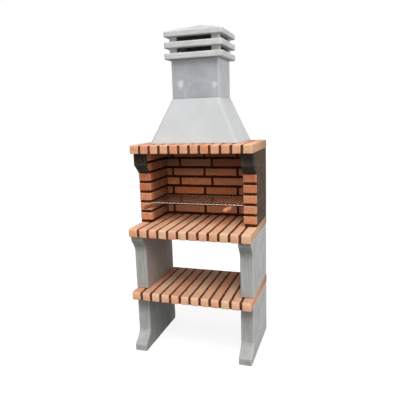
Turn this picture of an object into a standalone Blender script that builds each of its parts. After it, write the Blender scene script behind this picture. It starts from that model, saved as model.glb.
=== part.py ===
# Outdoor masonry barbecue: precast legs, two brick shelves, a brick firebox,
# a brick mantel, and a hollow hood, flue and slotted cap that lead the smoke away.
# A wire grill slides out of the raked joints of the firebox walls.
# Metres, +Z up, front towards -Y, origin on the ground under the middle of the whole object.

from math import cos, pi, radians, sin, tan

import bmesh
import bpy
from mathutils import Matrix, Vector

# Fits shared by every piece
seat_gap = 0.0003
cut_overrun = 0.010
arris = 0.005
arris_steps = 2
plate_arris = 0.0025
merge_reach = 0.0001

# Bricks and joints
joint_width = 0.012
brick_length = 0.210
brick_height = 0.050
slab_brick_width = 0.050
end_brick_width = 0.055
slab_brick_count = 12
slab_height = 0.052
slab_depth = 0.498
rear_strip = 0.012
nose_radius = 0.010
nose_steps = 4
toe_radius = 0.004
toe_steps = 2
brick_arris = 0.0022
slab_top_rake = 0.0035
slab_front_rake = 0.0055
slab_under_rake = 0.002

# Legs
leg_thickness = 0.078
leg_depth = 0.428
lower_leg_height = 0.337
upper_leg_height = 0.344
foot_reach = 0.068
foot_height = 0.042
foot_slope = 0.052
foot_fillet = 0.055
corbel_reach = 0.046
corbel_height = 0.026
corbel_slope = 0.062
corbel_fillet = 0.065
fillet_steps = 5

# Firebox walls
wall_thickness = 0.080
wall_depth = 0.319
back_thickness = 0.050
course_count = 7
bed_height = 0.015
top_bed = 0.002
side_rake = 0.009
face_rake = 0.005
wall_nose = 0.007
wall_nose_steps = 3
closer_length = 0.038
bat_length = 0.157
back_upright_count = 3

# Brackets under the mantel, with thin bricks lining their inner side
bracket_reach = 0.056
bracket_nib = 0.072
bracket_plate = 0.025
bracket_skin = 0.008
bracket_rise = 0.003
slip_thickness = 0.022
slip_inset = 0.0015
bracket_courses = 2

# Mantel with the smoke throat
mantel_depth = 0.422
mantel_side_bricks = 2
throat_front = 0.300
throat_lip = 0.012

# Hood, flue and cap
hood_width = 0.556
hood_depth = 0.340
hood_height = 0.262
hood_margin = 0.004
hood_wall = 0.030
hood_foot_radius = 0.025
hood_mouth_radius = 0.015
hood_crown_radius = 0.020
hood_steps = 6
flue_width = 0.292
flue_depth = 0.258
flue_height = 0.226
flue_wall = 0.028
corner_radius = 0.009
corner_steps = 3
cap_overhang = 0.032
cap_plate = 0.034
cap_gap = 0.029
cap_edge = 0.030
cap_peak = 0.049
cap_corner_radius = 0.016
cap_foot = 0.045
cap_foot_inset = 0.027
cap_foot_sink = 0.006

# Wire grill
wire_radius = 0.003
grill_engage = 0.007
grill_depth = 0.283
grill_course = 2
frame_bend = 0.015
frame_bend_steps = 4
rod_radius = 0.00175
rod_pitch = 0.025
rod_count = 22
rod_tail = 0.002
rod_sides = 8
cross_rod_count = 4
weld_sink = 0.0004

# Handles
tang_radius = 0.0025
tang_x = 0.2375
tang_tail = 0.022
tang_rise = 0.012
handle_tilt = radians(5.5)
grip_start = 0.080
grip_length = 0.130
grip_radius = 0.011
grip_waist = 0.0095
grip_end_radius = 0.0070
grip_round = 0.006
bore_depth = 0.095
bore_radius = 0.0028
tang_clear = 0.004
round_sides = 16

# Sizes that follow from the ones above
inner_brick_total = (slab_brick_count - 2) * slab_brick_width
unit_width = inner_brick_total + 2 * end_brick_width + (slab_brick_count - 1) * joint_width
half_width = unit_width / 2
wall_inner = half_width - wall_thickness
course_pitch = brick_height + joint_width
wall_height = bed_height + course_count * brick_height + (course_count - 1) * joint_width + top_bed

shelf_z = lower_leg_height + seat_gap
upper_leg_z = shelf_z + slab_height + seat_gap
hearth_z = upper_leg_z + upper_leg_height + seat_gap
wall_z = hearth_z + slab_height + seat_gap
mantel_z = wall_z + wall_height + seat_gap
hood_z = mantel_z + slab_height + seat_gap
flue_z = hood_z + hood_height + seat_gap
cap_z = flue_z + flue_height + seat_gap

flue_rear = hood_margin
flue_front = flue_rear + flue_depth
hood_top_half = flue_width / 2 + hood_margin
hood_top_front = flue_front + hood_margin
cap_half = flue_width / 2 + cap_overhang
cap_rear = flue_rear - cap_overhang
cap_front = flue_front + cap_overhang

rods_rear = back_thickness + seat_gap
rods_front = rods_rear + grill_depth
rear_wire = rods_rear + rod_tail + wire_radius
front_wire = rods_front - rod_tail - wire_radius
side_wire = wall_inner + grill_engage - wire_radius
wire_z = wall_z + bed_height + grill_course * course_pitch - joint_width + seat_gap + wire_radius
rod_z = wire_z + wire_radius + seat_gap + rod_radius
cross_rod_z = rod_z - 2 * rod_radius + weld_sink
tang_z = wire_z - wire_radius - seat_gap - tang_radius
tang_bend = front_wire + tang_rise

# The origin lies midway between the cap's rear edge and the tips of the handles
tip_ahead = (grip_start + grip_length - tang_rise) * cos(handle_tilt) + grip_end_radius * sin(handle_tilt)
tip_depth = tang_bend + tip_ahead
origin_depth = (tip_depth + cap_rear) / 2


# Materials

def finish(name, colour, roughness, metallic=0.0):
    material = bpy.data.materials.new(name)
    material.use_nodes = True
    shader = material.node_tree.nodes["Principled BSDF"]
    shader.inputs["Base Color"].default_value = (*colour, 1.0)
    shader.inputs["Roughness"].default_value = roughness
    shader.inputs["Metallic"].default_value = metallic
    return material


def cast_concrete():
    return finish("cast_concrete", (0.36, 0.37, 0.36), 0.85)


def pale_render():
    return finish("pale_render", (0.60, 0.60, 0.59), 0.90)


def smooth_cement():
    return finish("smooth_cement", (0.42, 0.44, 0.46), 0.70)


def dark_cement():
    return finish("dark_cement", (0.06, 0.06, 0.055), 0.90)


def fired_brick():
    return finish("fired_brick", (0.66, 0.33, 0.20), 0.80)


def shaded_brick():
    return finish("wall_brick", (0.45, 0.17, 0.09), 0.85)


def dark_mortar():
    return finish("dark_mortar", (0.045, 0.022, 0.016), 0.95)


def zinc_wire():
    return finish("zinc_wire", (0.70, 0.69, 0.66), 0.30, 1.0)


def turned_wood():
    return finish("turned_wood", (0.62, 0.33, 0.14), 0.55)


# Building blocks: places are given as x, depth from the rear plane towards the front, and z

def place(x, depth, z):
    return Vector((x, -depth, z))


def add_object(name, bm, material, parent):
    bmesh.ops.recalc_face_normals(bm, faces=bm.faces)
    mesh = bpy.data.meshes.new(name)
    bm.to_mesh(mesh)
    bm.free()
    piece = bpy.data.objects.new(name, mesh)
    if material:
        mesh.materials.append(material)
    bpy.context.scene.collection.objects.link(piece)
    piece.parent = parent
    return piece


def add_guide(name, bm, parent):
    guide = add_object(name, bm, None, parent)
    guide.hide_render = True
    guide.display_type = "WIRE"
    return guide


def extrude_outline(bm, corners, travel):
    face = bm.faces.new([bm.verts.new(corner) for corner in corners])
    grown = bmesh.ops.extrude_face_region(bm, geom=[face])
    moved = [item for item in grown["geom"] if isinstance(item, bmesh.types.BMVert)]
    bmesh.ops.translate(bm, verts=moved, vec=travel)


def profile_along_x(outline, x_from, x_to):
    bm = bmesh.new()
    corners = [place(x_from, depth, z) for depth, z in outline]
    extrude_outline(bm, corners, Vector((x_to - x_from, 0, 0)))
    return bm


def plan_along_z(bm, outline, z_from, z_to):
    corners = [place(x, depth, z_from) for x, depth in outline]
    extrude_outline(bm, corners, Vector((0, 0, z_to - z_from)))


def block(bm, x_range, depth_range, z_range):
    (x0, x1), (d0, d1), (z0, z1) = x_range, depth_range, z_range
    plan_along_z(bm, [(x0, d0), (x1, d0), (x1, d1), (x0, d1)], z0, z1)


def arc(centre, radius, start, end, steps):
    points = []
    for step in range(steps + 1):
        angle = start + (end - start) * step / steps
        points.append((centre[0] + radius * cos(angle), centre[1] + radius * sin(angle)))
    return points


def round_corner(before, corner, after, radius, steps):
    # The arc that replaces a corner of an outline and touches both of its sides
    corner = Vector(corner)
    towards_before = (Vector(before) - corner).normalized()
    towards_after = (Vector(after) - corner).normalized()
    half_angle = towards_before.angle(towards_after) / 2
    centre = corner + (towards_before + towards_after).normalized() * radius / sin(half_angle)
    start = (corner + towards_before * radius / tan(half_angle) - centre).normalized()
    end = (corner + towards_after * radius / tan(half_angle) - centre).normalized()
    return [tuple(centre + radius * start.slerp(end, step / steps)) for step in range(steps + 1)]


def rounded_rectangle(x0, x1, d0, d1, radius, steps):
    corners = [
        ((x1 - radius, d1 - radius), 0),
        ((x0 + radius, d1 - radius), pi / 2),
        ((x0 + radius, d0 + radius), pi),
        ((x1 - radius, d0 + radius), 3 * pi / 2),
    ]
    outline = []
    for centre, start in corners:
        outline += arc(centre, radius, start, start + pi / 2, steps)
    return outline


def sleeve(rings):
    # Rings run from the outer foot over the top and down the bore, and close on themselves
    bm = bmesh.new()
    loops = [[bm.verts.new(place(x, depth, z)) for x, depth in outline] for outline, z in rings]
    for near, far in zip(loops, loops[1:] + loops[:1]):
        for index in range(len(near)):
            following = (index + 1) % len(near)
            bm.faces.new((near[index], near[following], far[following], far[index]))
    return bm


def soften(piece, width, steps, limit=radians(30)):
    bevel = piece.modifiers.new("rounded_arrises", "BEVEL")
    bevel.width = width
    bevel.segments = steps
    bevel.limit_method = "ANGLE"
    bevel.angle_limit = limit


def combine(piece, other, operation):
    change = piece.modifiers.new(other.name, "BOOLEAN")
    change.operation = operation
    change.object = other
    change.solver = "EXACT"


def shade_round(piece):
    piece.data.shade_smooth()
    piece.data.set_sharp_from_angle(angle=radians(40))


# Slabs: a row of long bricks in a comb of dark mortar

def brick_edges(index):
    # Left and right side of one slab brick, counted from the left
    if index == 0:
        return -half_width, -half_width + end_brick_width
    pitch = slab_brick_width + joint_width
    left = -half_width + end_brick_width + joint_width + (index - 1) * pitch
    if index == slab_brick_count - 1:
        return left, left + end_brick_width
    return left, left + slab_brick_width


def slab_brick(name, index, depth_range, z_from, material, parent):
    rear, front = depth_range
    z_to = z_from + slab_height
    nose = arc((front - nose_radius, z_to - nose_radius), nose_radius, 0, pi / 2, nose_steps)
    toe = arc((front - toe_radius, z_from + toe_radius), toe_radius, -pi / 2, 0, toe_steps)
    outline = [(rear, z_from)] + toe + nose + [(rear, z_to)]
    left, right = brick_edges(index)
    brick = add_object(name, profile_along_x(outline, left, right), material, parent)
    soften(brick, brick_arris, 1, radians(50))
    return brick


def comb_outline(front, base_of_gap):
    # Plan of the mortar: a strip along the rear with one fin in every joint
    outline = [(-half_width, 0), (half_width, 0)]
    outline.append((half_width, base_of_gap(slab_brick_count - 1)))
    for index in range(slab_brick_count - 1, 0, -1):
        fin_right = brick_edges(index)[0] - seat_gap
        fin_left = brick_edges(index - 1)[1] + seat_gap
        outline += [(fin_right, base_of_gap(index)), (fin_right, front)]
        outline += [(fin_left, front), (fin_left, base_of_gap(index - 1))]
    outline.append((-half_width, base_of_gap(0)))
    return outline


def mortar_comb(name, front, base_of_gap, z_from, material, parent):
    bm = bmesh.new()
    outline = comb_outline(front - slab_front_rake, base_of_gap)
    plan_along_z(bm, outline, z_from + slab_under_rake, z_from + slab_height - slab_top_rake)
    return add_object(name, bm, material, parent)


def plain_slab(prefix, z_from, brick, mortar, parent):
    mortar_comb(prefix + "_mortar", slab_depth, lambda index: rear_strip, z_from, mortar, parent)
    for index in range(slab_brick_count):
        name = f"{prefix}_brick_{index + 1:02d}"
        depth_range = (rear_strip + seat_gap, slab_depth)
        slab_brick(name, index, depth_range, z_from, brick, parent)


def is_throat_brick(index):
    return mantel_side_bricks <= index < slab_brick_count - mantel_side_bricks


def mantel_slab(brick, mortar, parent):
    # The middle bricks stop short in front of the smoke throat
    throat_edge = throat_front + throat_lip

    def base_of_gap(index):
        return throat_edge if is_throat_brick(index) else rear_strip

    comb = mortar_comb("mantel_mortar", mantel_depth, base_of_gap, mantel_z, mortar, parent)
    throat_half = brick_edges(slab_brick_count - mantel_side_bricks - 1)[1] + seat_gap
    bm = bmesh.new()
    z_range = (mantel_z - cut_overrun, mantel_z + slab_height + cut_overrun)
    block(bm, (-throat_half, throat_half), (back_thickness, throat_front), z_range)
    combine(comb, add_guide("throat_cut", bm, parent), "DIFFERENCE")
    for index in range(slab_brick_count):
        rear = base_of_gap(index) + seat_gap
        slab_brick(f"mantel_brick_{index + 1:02d}", index, (rear, mantel_depth), mantel_z, brick, parent)


# Legs: cast panels with a spread foot or a corbel

def leg_ends(side):
    return side * (half_width - leg_thickness), side * half_width


def lower_leg(name, side, material, parent):
    toe = (leg_depth + foot_reach, foot_height)
    heel = (leg_depth, foot_height + foot_slope)
    crown = (leg_depth, lower_leg_height)
    hollow = round_corner(toe, heel, crown, foot_fillet, fillet_steps)
    outline = [(0, 0), (toe[0], 0), toe] + hollow + [crown, (0, lower_leg_height)]
    leg = add_object(name, profile_along_x(outline, *leg_ends(side)), material, parent)
    soften(leg, arris, arris_steps)


def upper_leg(name, side, material, parent):
    top = upper_leg_z + upper_leg_height
    reach = leg_depth + corbel_reach
    foot = (leg_depth, upper_leg_z)
    spring = (leg_depth, top - corbel_height - corbel_slope)
    nib = (reach, top - corbel_height)
    hollow = round_corner(foot, spring, nib, corbel_fillet, fillet_steps)
    outline = [(0, upper_leg_z), foot] + hollow + [nib, (reach, top), (0, top)]
    leg = add_object(name, profile_along_x(outline, *leg_ends(side)), material, parent)
    soften(leg, arris, arris_steps)


# Firebox: brick courses standing proud of raked joints

def course_z(course):
    # Underside of a course, the lowest one being course 1
    return wall_z + bed_height + (course - 1) * course_pitch


def joint_levels():
    levels = [(wall_z - cut_overrun, course_z(1))]
    for course in range(1, course_count):
        levels.append((course_z(course) + brick_height, course_z(course + 1)))
    levels.append((course_z(course_count) + brick_height, wall_z + wall_height + cut_overrun))
    return levels


def bracket_foot_z():
    return course_z(course_count - bracket_courses) + brick_height + bracket_rise


def bracket_profile(reach, lift):
    # A corbel against the column's front face, with its slope lifted for the thin bricks
    top = wall_z + wall_height
    nib_z = top - bracket_nib
    foot_z = bracket_foot_z()
    slope_share = reach / bracket_reach
    root = wall_depth + seat_gap
    return [
        (root, top),
        (root, foot_z + lift),
        (wall_depth + reach, foot_z + (nib_z - foot_z) * slope_share + lift),
        (wall_depth + reach, top),
    ]


def side_wall(name, side, material, parent):
    inner, outer = wall_inner, half_width
    top = wall_z + wall_height
    nose = arc((outer - wall_nose, wall_depth - wall_nose), wall_nose, 0, pi / 2, wall_nose_steps)
    cheek = arc((inner + wall_nose, wall_depth - wall_nose), wall_nose, pi / 2, pi, wall_nose_steps)
    plan = [(inner, 0), (outer, 0)] + nose + cheek
    bm = bmesh.new()
    plan_along_z(bm, [(side * x, depth) for x, depth in plan], wall_z, top)
    wall = add_object(name, bm, material, parent)

    # The two top courses run forward as thin bricks beside the bracket
    slip_reach = bracket_reach - bracket_plate
    outline = bracket_profile(slip_reach, bracket_skin)
    inside_wall = wall_depth - wall_nose - cut_overrun
    slip = [(inside_wall, top - top_bed), (inside_wall, outline[1][1])]
    slip += outline[1:3] + [(outline[3][0], top - top_bed)]
    slip_bm = profile_along_x(slip, side * (inner + slip_inset), side * (inner + slip_thickness))
    combine(wall, add_guide(name + "_slips", slip_bm, parent), "UNION")

    joints = bmesh.new()
    beyond_inner = inner - cut_overrun
    beyond_outer = outer + cut_overrun
    beyond_front = wall_depth + bracket_reach
    groove = inner + side_rake
    face = wall_depth - face_rake
    cut = [
        (beyond_inner, back_thickness),
        (groove, back_thickness),
        (groove, face),
        (beyond_outer, face),
        (beyond_outer, beyond_front),
        (beyond_inner, beyond_front),
    ]
    for z_from, z_to in joint_levels():
        plan_along_z(joints, [(side * x, depth) for x, depth in cut], z_from, z_to)
    combine(wall, add_guide(name + "_bed_joints", joints, parent), "DIFFERENCE")

    # Upright joints on the inner face, in running bond
    uprights = bmesh.new()
    for course in range(1, course_count + 1):
        face_length = brick_length if course % 2 else bat_length
        near = wall_depth - face_length
        z_range = (course_z(course) - seat_gap, course_z(course) + brick_height + seat_gap)
        x_range = (side * beyond_inner, side * groove)
        block(uprights, x_range, (near - joint_width, near), z_range)
    combine(wall, add_guide(name + "_upright_joints", uprights, parent), "DIFFERENCE")
    return wall


def back_wall(material, parent):
    half = wall_inner - seat_gap
    bm = bmesh.new()
    block(bm, (-half, half), (0, back_thickness), (wall_z, wall_z + wall_height))
    wall = add_object("firebox_back", bm, material, parent)
    face = (back_thickness - face_rake, back_thickness + cut_overrun)
    across = (-wall_inner - cut_overrun, wall_inner + cut_overrun)
    joints = bmesh.new()
    for z_range in joint_levels():
        block(joints, across, face, z_range)
    combine(wall, add_guide("back_bed_joints", joints, parent), "DIFFERENCE")

    uprights = bmesh.new()
    for course in range(1, course_count + 1):
        # The short closer changes side from course to course
        direction = 1 if course % 2 else -1
        for step in range(back_upright_count):
            start = closer_length + step * (brick_length + joint_width)
            x_range = [direction * (start - wall_inner), direction * (start + joint_width - wall_inner)]
            z_range = (course_z(course) - seat_gap, course_z(course) + brick_height + seat_gap)
            block(uprights, sorted(x_range), face, z_range)
    combine(wall, add_guide("back_upright_joints", uprights, parent), "DIFFERENCE")


def bracket(name, side, material, parent):
    outline = bracket_profile(bracket_reach, 0)
    solid = profile_along_x(outline, side * wall_inner, side * half_width)
    piece = add_object(name, solid, material, parent)
    soften(piece, arris, arris_steps)

    # Rebate for the thin bricks of the side wall
    slip_reach = bracket_reach - bracket_plate
    rebate = bracket_profile(slip_reach + seat_gap, bracket_skin - seat_gap)
    behind = wall_depth - cut_overrun
    above = wall_z + wall_height + cut_overrun
    corners = [(behind, above), (behind, rebate[1][1])] + rebate[1:3] + [(rebate[3][0], above)]
    x_range = (side * (wall_inner - cut_overrun), side * (wall_inner + slip_thickness + seat_gap))
    guide = add_guide(name + "_rebate", profile_along_x(corners, *x_range), parent)
    combine(piece, guide, "DIFFERENCE")


# Hood, flue and cap: one smoke path from the throat to the slots

def centred_rectangle(half, rear, front, radius, steps=corner_steps):
    return rounded_rectangle(-half, half, rear, front, radius, steps)


def bore_outline(steps=corner_steps):
    half = flue_width / 2 - flue_wall
    return centred_rectangle(half, flue_rear + flue_wall, flue_front - flue_wall, corner_radius, steps)


def smoke_hood(material, parent):
    top = hood_z + hood_height
    mouth_half = hood_width / 2 - hood_wall
    mouth_front = hood_depth - hood_wall
    foot = centred_rectangle(hood_width / 2, 0, hood_depth, hood_foot_radius, hood_steps)
    crown = centred_rectangle(hood_top_half, 0, hood_top_front, hood_crown_radius, hood_steps)
    mouth = centred_rectangle(mouth_half, hood_wall, mouth_front, hood_mouth_radius, hood_steps)
    rings = [(foot, hood_z), (crown, top), (bore_outline(hood_steps), top), (mouth, hood_z)]
    shade_round(add_object("hood", sleeve(rings), material, parent))


def flue(material, parent):
    outer = centred_rectangle(flue_width / 2, flue_rear, flue_front, corner_radius)
    top = flue_z + flue_height
    rings = [(outer, flue_z), (outer, top), (bore_outline(), top), (bore_outline(), flue_z)]
    shade_round(add_object("flue", sleeve(rings), material, parent))


def cap_feet(z_top, parent, name):
    # Four blocks that hold one plate over the next, sunk a little into the plate they are cast with
    bm = bmesh.new()
    x_outer = cap_half - cap_foot_inset
    x_inner = x_outer - cap_foot
    rear = cap_rear + cap_foot_inset
    front = cap_front - cap_foot_inset
    for x_range in ((-x_outer, -x_inner), (x_inner, x_outer)):
        for depth_range in ((rear, rear + cap_foot), (front - cap_foot, front)):
            block(bm, x_range, depth_range, (z_top - cap_gap + seat_gap, z_top + cap_foot_sink))
    return add_guide(name, bm, parent)


def cap_ring(name, z_from, with_feet, material, parent):
    outer = centred_rectangle(cap_half, cap_rear, cap_front, cap_corner_radius)
    top = z_from + cap_plate
    rings = [(outer, z_from), (outer, top), (bore_outline(), top), (bore_outline(), z_from)]
    ring = add_object(name, sleeve(rings), material, parent)
    soften(ring, plate_arris, 1, radians(50))
    if with_feet:
        combine(ring, cap_feet(z_from, parent, name + "_feet"), "UNION")
    return ring


def cap_top(z_from, material, parent):
    # A low hipped roof on a square plate
    bm = bmesh.new()
    outline = centred_rectangle(cap_half, cap_rear, cap_front, cap_corner_radius)
    plan_along_z(bm, outline, z_from, z_from + cap_edge)
    roof = max(bm.faces, key=lambda face: face.calc_center_median().z)
    peak = bmesh.ops.poke(bm, faces=[roof])["verts"][0]
    peak.co.z += cap_peak
    plate = add_object("cap_top", bm, material, parent)
    soften(plate, arris, arris_steps, radians(50))
    combine(plate, cap_feet(z_from, parent, "cap_top_feet"), "UNION")


def chimney_cap(material, parent):
    step = cap_plate + cap_gap
    cap_ring("cap_ring_lower", cap_z, False, material, parent)
    cap_ring("cap_ring_middle", cap_z + step, True, material, parent)
    cap_top(cap_z + 2 * step, material, parent)


# Grill: a bent wire frame with welded rods, carried in the raked joints

def wire_curve(name, points, radius, closed, material, parent):
    curve = bpy.data.curves.new(name, "CURVE")
    curve.dimensions = "3D"
    curve.bevel_depth = radius
    curve.bevel_resolution = 2
    curve.use_fill_caps = not closed
    spline = curve.splines.new("POLY")
    spline.points.add(len(points) - 1)
    for point, target in zip(spline.points, points):
        point.co = (*target, 1.0)
    spline.use_cyclic_u = closed
    curve.materials.append(material)
    piece = bpy.data.objects.new(name, curve)
    bpy.context.scene.collection.objects.link(piece)
    piece.parent = parent
    return piece


def on_carrier(x, depth, z):
    # The grill's pieces are placed from the middle of its frame
    return place(x, depth - (front_wire + rear_wire) / 2, z - wire_z)


def grill_frame(material, carrier):
    plan = rounded_rectangle(-side_wire, side_wire, rear_wire, front_wire, frame_bend, frame_bend_steps)
    points = [on_carrier(x, depth, wire_z) for x, depth in plan]
    wire_curve("grill_frame", points, wire_radius, True, material, carrier)


def straight_rod(bm, start, end, radius, sides):
    span = end - start
    turn = Vector((0, 0, 1)).rotation_difference(span).to_matrix().to_4x4()
    matrix = Matrix.Translation((start + end) / 2) @ turn
    bmesh.ops.create_cone(
        bm, cap_ends=True, segments=sides, radius1=radius, radius2=radius, depth=span.length, matrix=matrix
    )


def grill_rods(material, carrier):
    bm = bmesh.new()
    first = -(rod_count - 1) * rod_pitch / 2
    for index in range(rod_count):
        x = first + index * rod_pitch
        start = on_carrier(x, rods_rear, rod_z)
        straight_rod(bm, start, on_carrier(x, rods_front, rod_z), rod_radius, rod_sides)
    rods = add_object("grill_rods", bm, material, carrier)
    cross = bmesh.new()
    reach = side_wire - wire_radius - seat_gap
    spacing = (front_wire - rear_wire) / (cross_rod_count + 1)
    for index in range(cross_rod_count):
        depth = rear_wire + (index + 1) * spacing
        start = on_carrier(-reach, depth, cross_rod_z)
        straight_rod(cross, start, on_carrier(reach, depth, cross_rod_z), rod_radius, rod_sides)
    combine(rods, add_guide("cross_rods", cross, carrier), "UNION")
    shade_round(rods)


def along_handle(side, distance):
    # A point on the handle's own line, measured from its bend in front of the frame
    x = side * tang_x
    return on_carrier(x, tang_bend + distance * cos(handle_tilt), tang_z + distance * sin(handle_tilt))


def handle_tang(name, side, material, carrier):
    end = grip_start - tang_rise + bore_depth - tang_clear
    points = [
        on_carrier(side * tang_x, front_wire - tang_tail, tang_z),
        on_carrier(side * tang_x, tang_bend - tang_rise / 2, tang_z),
        along_handle(side, tang_rise / 2),
        along_handle(side, end),
    ]
    wire_curve(name, points, tang_radius, False, material, carrier)


def handle_grip(name, side, material, carrier):
    # Turned wood: a waisted barrel with rounded ends, bored for the tang from behind
    rise_share = 0.45
    waist_share = 0.12
    outline = [(0, 0), (grip_end_radius, 0), (grip_waist, grip_round)]
    outline.append((grip_waist, waist_share * grip_length))
    outline.append((grip_radius, rise_share * grip_length))
    outline.append((grip_radius, grip_length - 2 * grip_round))
    outline += [(grip_waist, grip_length - grip_round / 2), (grip_end_radius, grip_length), (0, grip_length)]
    bm = bmesh.new()
    verts = [bm.verts.new((radius, 0, height)) for radius, height in outline]
    edges = [bm.edges.new(pair) for pair in zip(verts, verts[1:])]
    geometry = verts + edges
    centre, axis = (0, 0, 0), (0, 0, 1)
    bmesh.ops.spin(
        bm, geom=geometry, cent=centre, axis=axis, angle=2 * pi, steps=round_sides, use_merge=True
    )
    bmesh.ops.remove_doubles(bm, verts=bm.verts, dist=merge_reach)
    start = along_handle(side, grip_start - tang_rise)
    seat = Matrix.Translation(start) @ Matrix.Rotation(pi / 2 - handle_tilt, 4, "X")
    grip = add_object(name, bm, material, carrier)
    grip.matrix_local = seat
    shade_round(grip)

    bore = bmesh.new()
    straight_rod(bore, Vector((0, 0, -cut_overrun)), Vector((0, 0, bore_depth)), bore_radius, round_sides)
    guide = add_guide(name + "_bore", bore, carrier)
    guide.matrix_local = seat
    combine(grip, guide, "DIFFERENCE")


def empty(name, location, parent):
    marker = bpy.data.objects.new(name, None)
    marker.location = location
    bpy.context.scene.collection.objects.link(marker)
    marker.parent = parent
    return marker


def build():
    for old in list(bpy.data.objects):
        bpy.data.objects.remove(old, do_unlink=True)

    concrete = cast_concrete()
    render = pale_render()
    cement = smooth_cement()
    charcoal = dark_cement()
    brick = fired_brick()
    wall_brick = shaded_brick()
    mortar = dark_mortar()
    zinc = zinc_wire()
    wood = turned_wood()

    # Everything fixed hangs on one empty on the rear plane
    masonry = empty("masonry", (0, origin_depth, 0), None)
    for side, hand in ((-1, "left"), (1, "right")):
        lower_leg("lower_leg_" + hand, side, concrete, masonry)
        upper_leg("upper_leg_" + hand, side, concrete, masonry)
        side_wall("firebox_side_" + hand, side, wall_brick, masonry)
        bracket("bracket_" + hand, side, charcoal, masonry)
    plain_slab("shelf", shelf_z, brick, mortar, masonry)
    plain_slab("hearth", hearth_z, brick, mortar, masonry)
    back_wall(wall_brick, masonry)
    mantel_slab(brick, mortar, masonry)
    smoke_hood(render, masonry)
    flue(cement, masonry)
    chimney_cap(render, masonry)

    # The grill's empty lies on its line of travel, in the middle of the frame
    carrier = empty("grill_slide", place(0, (front_wire + rear_wire) / 2, wire_z), masonry)
    grill_frame(zinc, carrier)
    grill_rods(zinc, carrier)
    for side, hand in ((-1, "left"), (1, "right")):
        handle_tang("handle_tang_" + hand, side, zinc, carrier)
        handle_grip("handle_grip_" + hand, side, wood, carrier)


build()
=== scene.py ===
import math

import bmesh
import bpy
import numpy as np
from mathutils import Matrix, Vector


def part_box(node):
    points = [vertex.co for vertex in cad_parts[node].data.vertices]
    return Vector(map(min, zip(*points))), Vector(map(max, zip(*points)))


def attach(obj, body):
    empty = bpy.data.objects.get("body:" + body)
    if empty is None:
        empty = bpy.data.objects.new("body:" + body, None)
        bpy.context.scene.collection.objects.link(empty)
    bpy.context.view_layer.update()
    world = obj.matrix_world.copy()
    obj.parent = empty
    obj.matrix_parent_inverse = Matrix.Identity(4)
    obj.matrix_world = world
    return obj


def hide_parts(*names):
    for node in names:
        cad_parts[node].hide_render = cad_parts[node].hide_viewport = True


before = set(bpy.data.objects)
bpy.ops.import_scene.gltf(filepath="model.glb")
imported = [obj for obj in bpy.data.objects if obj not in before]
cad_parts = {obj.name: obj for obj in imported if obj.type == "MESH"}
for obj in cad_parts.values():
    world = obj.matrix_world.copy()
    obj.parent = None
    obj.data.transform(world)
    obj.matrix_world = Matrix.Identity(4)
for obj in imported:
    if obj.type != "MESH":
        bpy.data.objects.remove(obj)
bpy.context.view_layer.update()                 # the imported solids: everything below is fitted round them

# Outdoor masonry barbecue: precast concrete, brick slabs, a brick firebox and a wire grill.
# Places are x, depth from the rear plane towards the front, and z, in metres.

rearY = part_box("lower_leg_left")[1].y
hair = 0.0004                     # how near two places count as the same
play = 0.0003                     # left between two pieces, so that they share no face


def at(x, depth, z):
    return Vector((x, rearY - depth, z))


# small tools for modelling

def only(*chosen):
    # the chosen objects alone are selected, and the first is active
    bpy.ops.object.select_all(action="DESELECT")
    for piece in chosen:
        piece.select_set(True)
    if chosen:
        bpy.context.view_layer.objects.active = chosen[0]


def edit(piece):
    # into edit mode, with all of the mesh selected
    only(piece)
    bpy.ops.object.mode_set(mode="EDIT")
    bpy.ops.mesh.select_all(action="SELECT")


def leave():
    bpy.ops.object.mode_set(mode="OBJECT")


def pick(kind, test):
    # in edit mode, select what passes: a vertex by its place, an edge or face by its middle and direction
    mesh = bpy.context.object.data
    bpy.ops.mesh.select_mode(type=kind)
    bpy.ops.mesh.select_all(action="DESELECT")
    shape = bmesh.from_edit_mesh(mesh)
    if kind == "VERT":
        found = [v for v in shape.verts if test(v.co)]
    elif kind == "EDGE":
        ends = [(e, e.verts[0].co, e.verts[1].co) for e in shape.edges]
        found = [e for e, a, b in ends if test((a + b) / 2, (b - a).normalized())]
    else:
        shape.normal_update()
        found = [f for f in shape.faces if test(f.calc_center_median(), f.normal)]
    for item in found:
        item.select_set(True)
    shape.select_flush_mode()
    bmesh.update_edit_mesh(mesh)


def cutAcross(axis, place):
    # in edit mode, a straight cut through all of the mesh, square to axis 0, 1 or 2
    point, normal = Vector(), Vector()
    point[axis], normal[axis] = place, 1
    bpy.ops.mesh.select_all(action="SELECT")
    bpy.ops.mesh.bisect(plane_co=point, plane_no=normal)


def drawOut(way):
    # in edit mode, extrude what is selected
    bpy.ops.mesh.extrude_region_move(TRANSFORM_OT_translate={"value": way})


def named(piece, name):
    piece.name = piece.data.name = name
    return piece


def newBlock(name, low, high):
    low, high = Vector(low), Vector(high)
    only()
    bpy.ops.mesh.primitive_cube_add(size=1, location=(low + high) / 2, scale=high - low)
    bpy.ops.object.transform_apply()
    return named(bpy.context.object, name)


def newOutline(name, low, high, radius, steps):
    # a flat plate with rounded corners, the start of a shell, a roof or a wire loop
    only()
    bpy.ops.mesh.primitive_plane_add(size=1, location=(low + high) / 2)
    plate = bpy.context.object
    plate.scale = (high.x - low.x, high.y - low.y, 1)
    bpy.ops.object.transform_apply()
    edit(plate)
    bpy.ops.mesh.bevel(offset=radius, segments=steps, affect="VERTICES")
    leave()
    return named(plate, name)


def hollowOut(piece):
    # keep only the outline of a plate
    edit(piece)
    bpy.ops.mesh.delete(type="ONLY_FACE")
    leave()


def copyOf(piece, name, shift=(0, 0, 0)):
    # a copy with its own mesh, moved in the mesh
    twin = piece.copy()
    twin.data = piece.data.copy()
    bpy.context.scene.collection.objects.link(twin)
    twin.data.transform(Matrix.Translation(Vector(shift)))
    return named(twin, name)


def joinAll(parts, name):
    only(*parts)
    bpy.ops.object.join()
    return named(bpy.context.object, name)


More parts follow.
